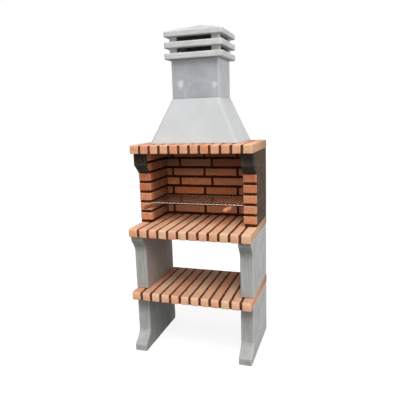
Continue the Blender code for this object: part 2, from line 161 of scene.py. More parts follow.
def applyChange(piece, kind, **settings):
    only(piece)
    change = piece.modifiers.new(kind.lower(), kind)
    for key, value in settings.items():
        setattr(change, key, value)
    bpy.ops.object.modifier_apply(modifier=change.name)


def carve(piece, cutter, operation="DIFFERENCE"):
    applyChange(piece, "BOOLEAN", object=cutter, operation=operation, solver="EXACT")
    bpy.data.objects.remove(cutter)


def sawOff(piece, point, normal):
    # saw a closed piece through, drop the side that the normal points to and close the cut
    edit(piece)
    bpy.ops.mesh.bisect(plane_co=point, plane_no=normal, use_fill=True, clear_outer=True)
    bpy.ops.mesh.select_all(action="SELECT")
    bpy.ops.mesh.normals_make_consistent(inside=False)
    leave()


def underSlope(root, tip):
    # the direction that looks out and down from a slope rising towards the front
    way = (tip - root).normalized()
    return Vector((0, -way.z, way.y))


def turnOutwards(piece):
    edit(piece)
    bpy.ops.mesh.remove_doubles(threshold=0.00005)
    bpy.ops.mesh.normals_make_consistent(inside=False)
    leave()


def sharpLines(piece, least=40):
    # the convex arrises of a piece before they are rounded, as pairs of points
    shape = bmesh.new()
    shape.from_mesh(piece.data)
    lines = [(e.verts[0].co.copy(), e.verts[1].co.copy()) for e in shape.edges
             if len(e.link_faces) == 2 and e.calc_face_angle_signed(0) > math.radians(least)]
    shape.free()
    return lines


def roundSharp(piece, offset, angle=50, segments=2, **settings):
    # every arris sharper than the angle is rounded
    edit(piece)
    bpy.ops.mesh.select_all(action="DESELECT")
    bpy.ops.mesh.edges_select_sharp(sharpness=math.radians(angle))
    bpy.ops.mesh.bevel(offset=offset, segments=segments, **settings)
    leave()


def score(piece, spacings, inset=0.0):
    # straight cuts across the piece, so that its flat faces can carry unevenness
    corners = np.array([v.co for v in piece.data.vertices])
    edit(piece)
    for axis, spacing in enumerate(spacings):
        if spacing:
            low, high = corners[:, axis].min() + inset, corners[:, axis].max() - inset
            steps = max(1, round((high - low) / spacing))
            for step in range(0 if inset else 1, steps + (1 if inset else 0)):
                cutAcross(axis, low + (high - low) * step / steps)
    leave()


def keepShare(piece, name, values):
    # an attribute with a share of 0 to 1 at each point
    attribute = piece.data.attributes.new(name, "FLOAT", "POINT")
    attribute.data.foreach_set("value", np.clip(values, 0, 1).astype(np.float32))


def mark(piece, name, rule):
    # soot and painted shade, or a pale film and painted light, from a rule for the place of each point
    keepShare(piece, name, [rule(v.co) for v in piece.data.vertices])


def markRims(piece, lines, reach):
    # the attribute rim and the vertex group rimWear: 1 on an arris, 0 further off than reach
    points = np.array([v.co for v in piece.data.vertices])
    nearest = np.full(len(points), 1e9)
    for a, b in lines:
        a, way = np.array(a), np.array(b - a)
        along = np.clip((points - a) @ way / (way @ way), 0, 1)
        nearest = np.minimum(nearest, np.linalg.norm(points - a - along[:, None] * way, axis=1))
    rim = np.clip(1 - nearest / reach, 0, 1)
    keepShare(piece, "rim", rim)
    group = piece.vertex_groups.new(name="rimWear")
    for index in np.nonzero(rim > 0)[0]:
        group.add([int(index)], float(rim[index]), "REPLACE")
    return rim


def lumps(name, size, contrast=1.0, depth=2, level=1.3):
    # clouds for unevenness; the higher the level, the more of the surface stays as it was
    texture = bpy.data.textures.new(name, "CLOUDS")
    texture.noise_scale = size
    texture.noise_depth = depth
    texture.contrast = contrast
    texture.intensity = level
    texture.use_clamp = True
    return texture


slabDents = lumps("slab_dents", 0.045)
fineDents = lumps("fine_dents", 0.012)
castDents = lumps("cast_dents", 0.09)
chipNoise = lumps("chip_noise", 0.016, contrast=2.6, depth=3, level=1.5)
combNoise = lumps("comb_noise", 0.020, contrast=1.5)


def pressIn(piece, texture, depth, group=""):
    # unevenness that only goes inwards, so the piece stays within its solid
    applyChange(piece, "DISPLACE", texture=texture, texture_coords="LOCAL", mid_level=1.0,
                strength=depth, vertex_group=group)


def smooth(piece, angle):
    only(piece)
    bpy.ops.object.shade_smooth_by_angle(angle=math.radians(angle))


def weather(piece, lines, values, dents=castDents, sootAndShade=None):
    # rims are marked and soot and painted shade are laid by its rule, then the faces are dented and the
    # arrises chipped
    rims = markRims(piece, lines, values["rimReach"])
    if sootAndShade:
        keepShare(piece, "sootAndShade", [sootAndShade(v.co, rim) for v, rim in zip(piece.data.vertices, rims)])
    pressIn(piece, dents, values["dents"])
    for texture, name, group in ((fineDents, "fine", ""), (chipNoise, "chips", "rimWear")):
        if name in values:
            pressIn(piece, texture, values[name], group)
    smooth(piece, values.get("smooth", 40))


def ramp(value, low, high):
    share = min(1.0, max(0.0, (value - low) / (high - low)))
    return share * share * (3 - 2 * share)


def stain(piece, code):
    # the clay's own colour, kept on the mesh, so that one material serves every brick
    attribute = piece.data.attributes.new("clay", "FLOAT_COLOR", "POINT")
    attribute.data.foreach_set("color", np.tile(hexColour(code), len(piece.data.vertices)))


def settle(piece, material, slotName, *nodes, body="masonry"):
    piece.data.materials.clear()
    piece.data.materials.append(material)
    piece.vertex_groups.clear()
    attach(piece, body)
    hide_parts(*nodes)


# small tools for materials

def hexColour(code):
    # an sRGB hex value turned to linear
    parts = [int(code[i:i + 2], 16) / 255 for i in (1, 3, 5)]
    return [p / 12.92 if p <= 0.04045 else ((p + 0.055) / 1.055) ** 2.4 for p in parts] + [1.0]


def perMetre(millimetres):
    # the texture scale that makes one feature this big
    return 1000 / millimetres


def feed(tree, node, sockets):
    # socket values and links into a node; a text stands for a hex colour
    for key, value in sockets.items():
        if isinstance(value, bpy.types.NodeSocket):
            tree.links.new(value, node.inputs[key])
        else:
            node.inputs[key].default_value = hexColour(value) if isinstance(value, str) else value


def add(tree, kind, sockets=None, out=0, **settings):
    # a new node with its settings, its values and the links into it; out is the socket that it gives on
    node = tree.nodes.new("ShaderNode" + kind)
    for key, value in settings.items():
        setattr(node, key, value)
    feed(tree, node, sockets or {})
    return node.outputs[out]


def newMaterial(name):
    material = bpy.data.materials.new(name)
    material.use_nodes = True
    return material, material.node_tree


def grain(tree, place, size, detail=2.0, rough=0.6, stretch=(1, 1, 1), shift=(0, 0, 0)):
    # noise whose features are size millimetres across, drawn out along an axis by stretch
    mapped = add(tree, "Mapping", {"Vector": place, "Location": shift,
                                   "Scale": [perMetre(size) / s for s in stretch]})
    return add(tree, "TexNoise", {"Vector": mapped, "Scale": 1.0, "Detail": detail, "Roughness": rough})


def brokenUp(tree, share, pattern, low, high, least=0, most=1):
    # a share that a pattern breaks up: least times as much where the pattern is low, most times where high
    times = add(tree, "MapRange", {0: pattern, 1: low, 2: high, 3: least, 4: most})
    return add(tree, "Math", {0: share, 1: times}, operation="MULTIPLY")


def spots(tree, place, pitch, core, edge, rarity):
    # round spots in cells of pitch millimetres, missing from a share of the cells
    mapped = add(tree, "Mapping", {"Vector": place, "Scale": [perMetre(pitch)] * 3})
    cell = add(tree, "TexVoronoi", {"Vector": mapped, "Scale": 1.0})
    chance = add(tree, "SeparateColor", {0: cell.node.outputs["Color"]})
    dot = add(tree, "MapRange", {0: cell, 1: core, 2: edge, 3: 1, 4: 0})
    return brokenUp(tree, dot, chance, rarity, rarity + 0.02)


def layOver(tree, colour, *coats):
    # coats over a colour, one by one: its tone and what it follows, from where to where, up to which
    # share, and how it mixes; a coat that leaves these out has 0, 1, 1 and MIX
    for tone, follows, *rest in coats:
        low, high, share, how = rest + [0, 1, 1, "MIX"][len(rest):]
        factor = add(tree, "MapRange", {0: follows, 1: low, 2: high, 4: share})
        colour = add(tree, "Mix", {0: factor, 6: colour, 7: tone}, 2, data_type="RGBA", blend_type=how)
    return colour


def speckle(tree, grit, share):
    # a coat of grains, some darker and some lighter than what is below
    tint = add(tree, "MapRange", {0: grit, 1: 0.25, 2: 0.75, 3: 1 - share, 4: 1 + share * 0.6})
    return add(tree, "CombineColor", {0: tint, 1: tint, 2: tint}), 1.0, 0, 1, 1, "MULTIPLY"


def dress(tree, colour, grit, roughness, bumps, **constants):
    # roughness follows the grit, from where to where and between which values; a bump is height, strength
    # and depth in metres, each on top of the one before, and one of negative strength is a hollow
    sockets = {"Base Color": colour, **constants,
               "Roughness": add(tree, "MapRange", {0: grit, **dict(enumerate(roughness, 1))})}
    for height, strength, depth in bumps:
        bump = {"Height": height, "Strength": abs(strength), "Distance": depth}
        if "Normal" in sockets:
            bump["Normal"] = sockets["Normal"]
        sockets["Normal"] = add(tree, "Bump", bump, invert=strength < 0)
    feed(tree, tree.nodes["Principled BSDF"], sockets)


def placeAndMarks(tree, *names):
    # the place on the piece, and shares that are marked on its mesh
    marks = [add(tree, "Attribute", out="Fac", attribute_name=name) for name in names]
    return add(tree, "TexCoord", out="Object"), *marks


# Fired clay, wire-cut and tumbled. The eye sees a matt, grainy face whose colour wanders from sand
# to orange inside one brick, arrises rubbed paler than the face, and a few dark iron flecks.
def firedClay(name, clay):
    material, tree = newMaterial(name)
    place, rim, filmAndLight, sootAndShade = placeAndMarks(tree, "rim", "filmAndLight", "sootAndShade")
    cloud = grain(tree, place, clay["cloudSize"], 3.0, 0.55)
    patch = grain(tree, place, clay["patchSize"], 3.0, shift=(3.1, 0.7, 1.9))
    drag = grain(tree, place, clay["dragSize"], stretch=clay["dragStretch"])
    grit = grain(tree, place, clay["grit"], rough=0.7)
    rubbed = brokenUp(tree, rim, patch, 0.25, 0.60, 0.35)
    fleck = spots(tree, place, clay["fleckPitch"], 0.10, 0.20, 0.80)
    colour = layOver(
        tree, add(tree, "Attribute", out="Color", attribute_name="clay"),
        (clay["pale"], cloud, 0.40, 0.66, clay["cloudShare"]),
        (clay["deep"], patch, 0.52, 0.72, clay["patchShare"]),
        (clay["pale"], drag, 0.35, 0.70, clay["dragShare"], "SOFT_LIGHT"),
        (clay["rim"], rubbed, 0.15, 0.85, clay["rimShare"]),
        speckle(tree, grit, clay["speckle"]),
        (clay["iron"], fleck, 0, 1, 0.55),
        (clay["filmAndLight"], brokenUp(tree, filmAndLight, patch, 0.3, 0.7, 0.6, 1.2)),
        (clay["sootAndShade"], brokenUp(tree, sootAndShade, cloud, 0.25, 0.75, 0.75, 1.1)))
    if "rearShade" in clay:
        # painted shade: a slab darkens towards the rear
        depth = add(tree, "SeparateXYZ", {0: place}, 1)
        start, end = clay["rearShadeFrom"]
        reach = add(tree, "MapRange", {0: depth, 1: start, 2: end, 4: clay["rearShade"]},
                    interpolation_type="SMOOTHSTEP")
        rearShaded = brokenUp(tree, reach, cloud, 0.2, 0.8, 0.7, 1.2)
        colour = layOver(tree, colour, (clay["rearShadeTone"], rearShaded, 0, 1, 1, "MULTIPLY"))
    dress(tree, colour, grit, (0.2, 0.8, clay["roughness"] - 0.08, clay["roughness"] + 0.06),
          ((grit, 0.35, 0.0006), (patch, 0.30, 0.0015), (fleck, -0.5, 0.0008)))
    return material


def paleFlueMarks(tree, colour, place, streak, cast):
    # pale patches, each centred on a place of the piece, as a blot or as an arc, with a wandering edge
    size, reach = cast["wander"]
    wander = add(tree, "TexNoise", {"Vector": place, "Scale": perMetre(size), "Detail": 2.0}, "Color")
    drift = add(tree, "VectorMath", {0: wander, 1: (2 * reach,) * 3, 2: (-reach,) * 3},
                operation="MULTIPLY_ADD")
    drifted = add(tree, "VectorMath", {0: place, 1: drift}, operation="ADD")
    for paleMark in cast["paleMarks"]:
        centred = add(tree, "Mapping", {"Vector": drifted, "Location": paleMark["at"], "Scale": paleMark["size"]},
                      vector_type="TEXTURE")
        ball = add(tree, "TexGradient", {0: centred}, 1, gradient_type="SPHERICAL")
        if "arc" in paleMark:
            off = add(tree, "Math", {0: ball, 1: paleMark["arc"]}, operation="SUBTRACT")
            off = add(tree, "Math", {0: off}, operation="ABSOLUTE")
            ball = add(tree, "MapRange", {0: off, 1: 0, 2: 0.16, 3: 0.6, 4: 0})
        blot = add(tree, "MapRange", {0: ball, 1: 0, 2: 0.6})
        broken = brokenUp(tree, blot, streak, 0.25, 0.55, 0.4)
        colour = layOver(tree, colour, (paleMark["colour"], broken, 0, 1, paleMark["share"]))
    return colour


# Cement and concrete as it leaves its mould: a matt skin with drawn-out streaks where it was rodded
# and where water ran, cloudy grey from uneven drying, and small open air holes.
def castStone(name, cast):
    material, tree = newMaterial(name)
    place, rim, sootAndShade, filmAndLight = placeAndMarks(tree, "rim", "sootAndShade", "filmAndLight")
    cloud = grain(tree, place, cast["cloudSize"], 3.0, 0.55, shift=(1.3, 4.1, 0.4))
    streak = grain(tree, place, cast["streakSize"], stretch=cast["streakStretch"])
    grit = grain(tree, place, cast["grit"], rough=0.7)
    facing = add(tree, "SeparateXYZ", {0: add(tree, "NewGeometry", out="Normal")}, 2)
    lie = add(tree, "Math", {0: facing}, operation="ABSOLUTE")      # water draws streaks on upright faces
    most = cast["streakShare"]
    drawn = add(tree, "MapRange", {0: lie, 1: 0.2, 2: 0.6, 3: most, 4: most * 0.15})
    airHole = spots(tree, place, cast["holePitch"], 0.07, 0.14, cast["holeRarity"])
    colour = layOver(
        tree, cast["dark"],
        (cast["light"], cloud, 0.35, 0.65, 1),
        (cast["streak"], brokenUp(tree, drawn, streak, 0.50, 0.72)),
        (cast["drip"], brokenUp(tree, drawn, streak, 0.46, 0.28)),
        (cast["rim"], rim, 0.1, 0.9, cast["rimShare"]),
        speckle(tree, grit, cast["speckle"]),
        (cast["hole"], airHole, 0, 1, cast["holeShade"]))
    if "paleMarks" in cast:
        colour = paleFlueMarks(tree, colour, place, streak, cast)
    colour = layOver(
        tree, colour,
        (cast.get("sootAndShade", "#1a1716"), brokenUp(tree, sootAndShade, cloud, 0.25, 0.75, 0.8, 1.1)),
        (cast.get("filmAndLight", "#d4d5d5"), brokenUp(tree, filmAndLight, cloud, 0.3, 0.7, 0.75, 1.15)))
    relief = brokenUp(tree, streak, lie, 0.2, 0.6, 1.0, 0.15)
    dress(tree, colour, grit, (0.2, 0.8, cast["roughness"] - 0.07, cast["roughness"] + 0.06),
          ((grit, cast["bump"], 0.0005), (relief, cast["bump"], 0.0006), (airHole, -0.6, 0.0012)),
          IOR=cast.get("ior", 1.5))
    return material


# slab bricks: pale arrises that are partly rubbed clay and partly a painted highlight, and painted shade
# towards the rear
slabClay = {
    "roughness": 0.80, "cloudSize": 36, "cloudShare": 0.55, "pale": "#dab091",
    "patchSize": 17, "patchShare": 0.62, "deep": "#bb683e",
    "dragSize": 3.0, "dragStretch": (1, 14, 1), "dragShare": 0.5,
    "grit": 2.2, "speckle": 0.15, "rim": "#e4c3a8", "rimShare": 0.36,
    "fleckPitch": 14, "iron": "#6a4030", "sootAndShade": "#2b1c14", "filmAndLight": "#dcbb9f",
    "rearShade": 0.56, "rearShadeFrom": (-0.09, 0.20), "rearShadeTone": "#a88468",
}
wallClay = {
    "roughness": 0.85, "cloudSize": 70, "cloudShare": 0.25, "pale": "#cf9a74",
    "patchSize": 28, "patchShare": 0.45, "deep": "#a3512c",
    "dragSize": 3.0, "dragStretch": (1, 1, 1), "dragShare": 0.4,
    "grit": 2.4, "speckle": 0.18, "rim": "#cda48c", "rimShare": 0.40,
    "fleckPitch": 13, "iron": "#3f2015", "sootAndShade": "#24130c", "filmAndLight": "#cda48c",
}
legCast = {
    "roughness": 0.86, "cloudSize": 110, "dark": "#8c8d8a", "light": "#a0a19f",
    "streakSize": 7, "streakStretch": (1, 1, 22), "streak": "#adaeab", "drip": "#7b7c76", "streakShare": 0.55,
    "grit": 2.4, "speckle": 0.12, "rim": "#abaca8", "rimShare": 0.45,
    "holePitch": 15, "holeRarity": 0.72, "hole": "#54544f", "holeShade": 0.65, "bump": 0.30,
    "sootAndShade": "#7a481c", "filmAndLight": "#c9cac9",
}
hoodCast = {
    "roughness": 0.88, "cloudSize": 140, "dark": "#babcbd", "light": "#c1c3c4",
    "streakSize": 9, "streakStretch": (5, 5, 1), "streak": "#c9cbcc", "drip": "#afb1b2", "streakShare": 0.12,
    "grit": 2.0, "speckle": 0.05, "rim": "#b4b5b6", "rimShare": 0.5,
    "holePitch": 22, "holeRarity": 0.82, "hole": "#90908d", "holeShade": 0.5, "bump": 0.20,
}
capCast = {
    "roughness": 0.86, "cloudSize": 90, "dark": "#bcbcbb", "light": "#cbcbca",
    "streakSize": 3.2, "streakStretch": (26, 26, 1), "streak": "#d6d6d5", "drip": "#a6a6a4",
    "streakShare": 0.65, "grit": 2.0, "speckle": 0.07, "rim": "#d2d2d1", "rimShare": 0.4,
    "holePitch": 14, "holeRarity": 0.75, "hole": "#7d7d79", "holeShade": 0.55, "bump": 0.25,
}
flueCast = {
    "roughness": 0.58, "cloudSize": 95, "dark": "#9a9ea3", "light": "#a8acaf",
    "streakSize": 4, "streakStretch": (1, 1, 30), "streak": "#b4b8bc", "drip": "#8f9397", "streakShare": 0.25,
    "grit": 1.8, "speckle": 0.05, "rim": "#bfc3c5", "rimShare": 0.25,
    "holePitch": 24, "holeRarity": 0.80, "hole": "#7b7f83", "holeShade": 0.5, "bump": 0.12,
    "wander": (22, 0.013),
    "paleMarks": (
        {"at": at(-0.088, 0.262, 1.624), "size": (0.024, 0.03, 0.030), "share": 0.60, "colour": "#e3e8ea"},
        {"at": at(0.122, 0.262, 1.613), "size": (0.018, 0.03, 0.026), "share": 0.55, "colour": "#dfe4e6"},
        {"at": at(0.030, 0.262, 1.560), "size": (0.120, 0.06, 0.110), "share": 0.15, "colour": "#d5dadd",
         "arc": 0.22},
    ),
}
skinCast = {
    "roughness": 0.90, "ior": 1.3, "cloudSize": 70, "dark": "#3b2e23", "light": "#4f3d2e",
    "streakSize": 12, "streakStretch": (1, 5, 2), "streak": "#5d4c3b", "drip": "#30291f", "streakShare": 0.6,
    "grit": 2.6, "speckle": 0.20, "rim": "#534436", "rimShare": 0.4,
    "holePitch": 16, "holeRarity": 0.75, "hole": "#25221d", "holeShade": 0.7, "bump": 0.45,
}
bracketCast = dict(skinCast, dark="#2d2924", light="#3f3832", streak="#4a423a", drip="#231f1a", rim="#554d45")
jointMix = dict(skinCast, ior=1.2, dark="#331406", light="#50240c", streak="#5e2d10", drip="#240d04",
                rim="#4a220b", cloudSize=60, streakSize=8, streakStretch=(1, 4, 1), grit=2.8, speckle=0.3,
                bump=0.6, filmAndLight="#b98058")


# Zinc-plated steel wire, drawn and then hung in the bath: bright, a little streaky along the wire,
# with dull spangles that break its reflections.
zinc = {"dull": "#b3a597", "bright": "#dccfc2", "smoke": "#45240e", "spangle": 6, "scratch": 1.2}
wireMetal, tree = newMaterial("zinc_plated_drawn_wire")
place, sootAndShade = placeAndMarks(tree, "sootAndShade")
spangle = grain(tree, place, zinc["spangle"])
scratch = grain(tree, place, zinc["scratch"], rough=0.7)
colour = layOver(tree, zinc["dull"], (zinc["bright"], spangle, 0.3, 0.7, 1), (zinc["smoke"], sootAndShade))
dress(tree, colour, spangle, (0.3, 0.7, 0.48, 0.32), [(scratch, 0.25, 0.0002)], Metallic=1.0)

# Beech, turned on a lathe and oiled: warm orange-tan with short dark flecks along the grain,
# fine rings across it from the gouge, and a soft sheen.
beech = {"dark": "#b56a3c", "light": "#dc9662", "fleck": "#8b4f27", "leftHandleShade": "#682808",
         "band": 5, "fleckSize": 1.1, "ring": 2.5}
gripWood, tree = newMaterial("oiled_turned_beech")
place, sootAndShade = placeAndMarks(tree, "sootAndShade")
band = grain(tree, place, beech["band"], 3.0, stretch=(1, 12, 1))
fleck = grain(tree, place, beech["fleckSize"], stretch=(1, 7, 1))
ring = add(tree, "TexWave", {"Vector": place, "Scale": perMetre(beech["ring"]) / 3, "Distortion": 0.6}, 1,
           bands_direction="Y")
colour = layOver(tree, beech["dark"], (beech["light"], band, 0.3, 0.7, 1),
                 (beech["fleck"], fleck, 0.60, 0.75, 0.55), (beech["leftHandleShade"], sootAndShade))
dress(tree, colour, band, (0.3, 0.7, 0.55, 0.42), ((fleck, 0.25, 0.0003), (ring, 0.12, 0.0003)))

slabBrickStone = firedClay("wire_cut_fired_clay", slabClay)
wallBrickStone = firedClay("pressed_fired_clay", wallClay)
jointStone = castStone("raked_tinted_mortar", jointMix)
legStone = castStone("concrete_cast_upright", legCast)
footStone = castStone("concrete_cast_foot", dict(legCast, sootAndShade="#2a2825"))
hoodStone = castStone("white_cement_cast_hood", hoodCast)
flueStone = castStone("dense_cement_steel_cast", flueCast)
capStone = castStone("white_cement_cast_plates", capCast)
skinStone = castStone("trowelled_dark_cement", skinCast)
bracketStone = castStone("cast_dark_cement", bracketCast)
print("materials are ready")


# camera, as the photograph was taken

cameraAt = {"place": (0.8636, -2.5782, 1.4407), "yaw": 18.4, "pitch": 10.7, "roll": -1.8,
            "focal": 448.8, "frame": 400}
yaw, pitch, roll = (math.radians(cameraAt[k]) for k in ("yaw", "pitch", "roll"))
ahead = Vector((-math.sin(yaw) * math.cos(pitch), math.cos(yaw) * math.cos(pitch), -math.sin(pitch)))
sideways = Vector((math.cos(yaw), math.sin(yaw), 0))
upward = sideways.cross(ahead)
tiltedRight = math.cos(roll) * sideways + math.sin(roll) * upward
tiltedUp = math.cos(roll) * upward - math.sin(roll) * sideways
only()
bpy.ops.object.camera_add(location=cameraAt["place"])
camera = bpy.context.object
camera.rotation_euler = Matrix((tiltedRight, tiltedUp, -ahead)).transposed().to_euler()
camera.data.sensor_width = 36
camera.data.lens = camera.data.sensor_width * cameraAt["focal"] / cameraAt["frame"]
bpy.context.scene.camera = camera
print("camera is placed")


# slabs: long bricks on edge in a comb of dark mortar

wallLow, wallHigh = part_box("firebox_side_right")
inner, outer = wallLow.x, wallHigh.x
wall = {
    "courses": 7, "openCourses": 5, "pitch": 0.062, "brick": 0.0470, "firstBed": 0.0165, "depth": 0.319,
    "back": 0.050, "rake": 0.009, "faceRake": 0.005, "tongueRake": 0.009, "joint": 0.0140,
    "stretcher": 0.2080, "bat": 0.1550, "closer": 0.0360,
    "nose": 0.007, "outerNose": 0.012, "arris": 0.0040, "cuts": (0.009, 0.009, 0.009),
    "rimReach": 0.009, "dents": 0.0010, "fine": 0.0005, "chips": 0.0034,
    "return": 0.020, "returnPlay": 0.0006, "rearPlay": 0.0005,
}
# painted shade in the firebox, with some soot
smoke = {"front": (0.31, 0.26), "half": (0.312, 0.30), "climb": (1.045, 1.13), "top": 1.24, "share": 0.50,
         "flank": (0.284, 0.290), "sides": 0.48, "arrisDark": 0.18, "brickTopShade": 0.15}
# painted light on the fronts of the slab tops and along their noses, painted shade on the shelf top, and
# darker slab ends
slabLightAndShade = {"shelf": 0.25, "hearth": 0.40, "mantel": 0, "shelfFront": 0.70, "hearthFront": 0.40,
       "mantelFront": 0.12, "shelfShade": 0.25, "endDarkening": 0.24,
       "depth": (0.24, 0.40), "fromTop": (-0.042, -0.010),
       "top": (-0.004, -0.0005), "face": (-0.003, -0.0005)}
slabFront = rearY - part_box("hearth_brick_06")[0].y
slab = {
    "count": 12, "nose": 0.010, "toe": 0.004, "arris": 0.0042, "cuts": (0.008, 0.010, 0.009), "tuck": 0.0017,
    "rimReach": 0.009, "dents": 0.0010, "fine": 0.0004, "chips": 0.0032,
    "sand": "#d4aa87", "peach": "#d39b7a", "salmon": "#cb8c6d", "orange": "#cd8761", "rose": "#c38368",
}
slabTones = {
    "mantel": "peach salmon peach peach orange peach salmon orange peach salmon peach sand",
    "hearth": "orange rose orange sand salmon sand salmon peach orange sand salmon sand",
    "shelf": "orange salmon sand peach orange peach sand peach orange sand peach peach",
}


def slabBrick(name, low, high):
    brick = newBlock(name, low, high)
    arrises = sharpLines(brick)
    edit(brick)
    pick("EDGE", lambda mid, way: abs(way.x) > 0.9 and mid.y < low.y + hair and mid.z > high.z - hair)
    bpy.ops.mesh.bevel(offset=slab["nose"], segments=5)
    pick("EDGE", lambda mid, way: abs(way.x) > 0.9 and mid.y < low.y + hair and mid.z < low.z + hair)
    bpy.ops.mesh.bevel(offset=slab["toe"], segments=2)
    leave()
    roundSharp(brick, slab["arris"])
    score(brick, slab["cuts"], inset=slab["arris"] * 1.7)
    return brick, arrises


def fireboxSootAndShade(co, rim):
    # painted shade with some soot: darker under the mantel, from the rear wall forward, along the side walls
    # and the inner arrises, and at the top of each back-wall brick
    if co.z < wallLow.z or co.z > smoke["top"]:
        return 0.0
    depth = rearY - co.y
    inside = ramp(depth, *smoke["front"]) * ramp(abs(co.x), *smoke["half"])
    climb = smoke["share"] * ramp(co.z, *smoke["climb"])
    flank = smoke["sides"] * ramp(abs(co.x), *smoke["flank"])
    upper = ((co.z - wallLow.z - wall["firstBed"]) % wall["pitch"]) / wall["brick"]
    brickTopShade = smoke["brickTopShade"] * upper * (depth < wall["back"] + hair)
    return inside * max(climb, flank, smoke["arrisDark"] * rim, brickTopShade)


def slabPaintedLight(co, slabName, top):
    # painted light: the front of the hearth and shelf tops is lighter, and a painted highlight runs along the
    # upper part of the slab fronts
    depth = rearY - co.y
    flat = ramp(co.z - top, *slabLightAndShade["top"]) * ramp(depth, *slabLightAndShade["depth"])
    front = ramp(depth - slabFront, *slabLightAndShade["face"]) * ramp(co.z - top, *slabLightAndShade["fromTop"])
    return max(slabLightAndShade[slabName] * flat, slabLightAndShade[slabName + "Front"] * front)


def slabShadeAndEnds(co, slabName, top):
    # painted shade on the shelf top, under the hearth, and every slab darker on its ends
    flat = ramp(co.z - top, *slabLightAndShade["top"]) * (slabName == "shelf")
    return max(slabLightAndShade["shelfShade"] * flat, slabLightAndShade["endDarkening"] * ramp(abs(co.x) - outer, *slabLightAndShade["face"]))


patterns = {}                     # one brick of each size is modelled, and the others are copies
for slabName, tones in slabTones.items():
    for number, tone in enumerate(tones.split(), 1):
        node = f"{slabName}_brick_{number:02d}"
        low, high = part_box(node)
        low.x += slab["tuck"] * (number > 1)
        high.x -= slab["tuck"] * (number < slab["count"])
        size = tuple(round(v, 4) for v in high - low)
        if size not in patterns:
            patterns[size] = (*slabBrick("brick_pattern", low, high), low)
        pattern, lines, patternLow = patterns[size]
        shift = low - patternLow
        brick = copyOf(pattern, node + "_fired", shift)
        weather(brick, [(a + shift, b + shift) for a, b in lines], slab, slabDents,
                lambda co, rim: max(fireboxSootAndShade(co, rim), slabShadeAndEnds(co, slabName, high.z)))
        mark(brick, "filmAndLight", lambda co: slabPaintedLight(co, slabName, high.z))
        stain(brick, slab[tone])
        settle(brick, slabBrickStone, "fired_brick", node)
for pattern, _, _ in patterns.values():
    bpy.data.objects.remove(pattern)
print(slab["count"] * len(slabTones), "slab bricks are laid")

comb = {"brickDust": 0.13, "cuts": (0, 0.009, 0.012), "rough": 0.0022, "deeper": 0.002, "step": 0.001,
        "rearStrip": 0.012, "throatFront": 0.300, "throatLip": 0.012, "throatRear": 0.050,
        "overrun": 0.01, "endOverrun": 0.02, "bedDepth": 0.2}


def mortarComb(slabName, spine):
    # a strip along the rear, scored at the joints, with one fin drawn forward in each
    low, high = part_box(f"{slabName}_mortar")
    boxes = [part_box(f"{slabName}_brick_{n:02d}") for n in range(1, slab["count"] + 1)]
    reach = slab["tuck"] - play
    gaps = [(a[1].x - reach, b[0].x + reach) for a, b in zip(boxes, boxes[1:])]
    face = rearY - spine
    strip = newBlock(f"{slabName}_joints", (low.x, face, low.z), high)
    edit(strip)
    for edge in sorted(x for gap in gaps for x in gap):
        cutAcross(0, edge)
    pick("FACE", lambda mid, way: way.y < -0.9 and any(a < mid.x < b for a, b in gaps))
    drawOut((0, -comb["step"], 0))
    pick("VERT", lambda co: co.y < face - hair and co.z > high.z - hair)
    bpy.ops.transform.translate(value=(0, 0, -comb["deeper"]))
    pick("FACE", lambda mid, way: way.y < -0.9 and mid.y < face - hair)
    drawOut((0, low.y + comb["deeper"] - (face - comb["step"]), 0))
    leave()
    return strip


for slabName in ("shelf", "hearth", "mantel"):
    spine = comb["throatFront"] + comb["throatLip"] if slabName == "mantel" else comb["rearStrip"]
    joints = mortarComb(slabName, spine)
    if slabName == "mantel":
        # the smoke throat, and the beds of the two bricks that run through on each side
        low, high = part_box("mantel_mortar")
        under, over = low.z - comb["overrun"], high.z + comb["overrun"]
        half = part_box("mantel_brick_10")[1].x + play
        carve(joints, newBlock("throat_cutter", at(-half, comb["throatFront"], under),
                               at(half, comb["throatRear"], over)))
        for number in (1, 2, 11, 12):
            a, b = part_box(f"mantel_brick_{number:02d}")
            left = a.x - (comb["endOverrun"] if number == 1 else play)
            right = b.x + (comb["endOverrun"] if number == 12 else play)
            carve(joints, newBlock("bed_cutter", (left, a.y - comb["bedDepth"], under), (right, b.y, over)))
    score(joints, comb["cuts"])
    raked = joints.vertex_groups.new(name="raked")
    fins = [v.index for v in joints.data.vertices if v.co.y < rearY - spine - hair]
    raked.add(fins, 1.0, "REPLACE")
    pressIn(joints, combNoise, comb["rough"], "raked")
    mark(joints, "filmAndLight", lambda co: comb["brickDust"])
    smooth(joints, 50)
    settle(joints, jointStone, "dark_mortar", f"{slabName}_mortar")
print("slab joints are filled")


# legs: panels cast upright, with a spread foot or a corbel

leg = {
    "foot": {"reach": 0.068, "height": 0.042, "slope": -0.052, "fillet": 0.0272, "tint": 0.22},
    "corbel": {"reach": 0.046, "height": 0.026, "slope": 0.062, "fillet": 0.0215, "tint": 0.30},
    "depth": 0.428, "arris": 0.005, "cuts": (0.013, 0.012, 0.012), "rimReach": 0.014, "smooth": 35,
    "dents": 0.0009, "fine": 0.0003, "chips": 0.0022,
    "outerSideLight": 0.24, "innerFace": (0.006, 0.001), "outerFace": (-0.005, -0.001),
}


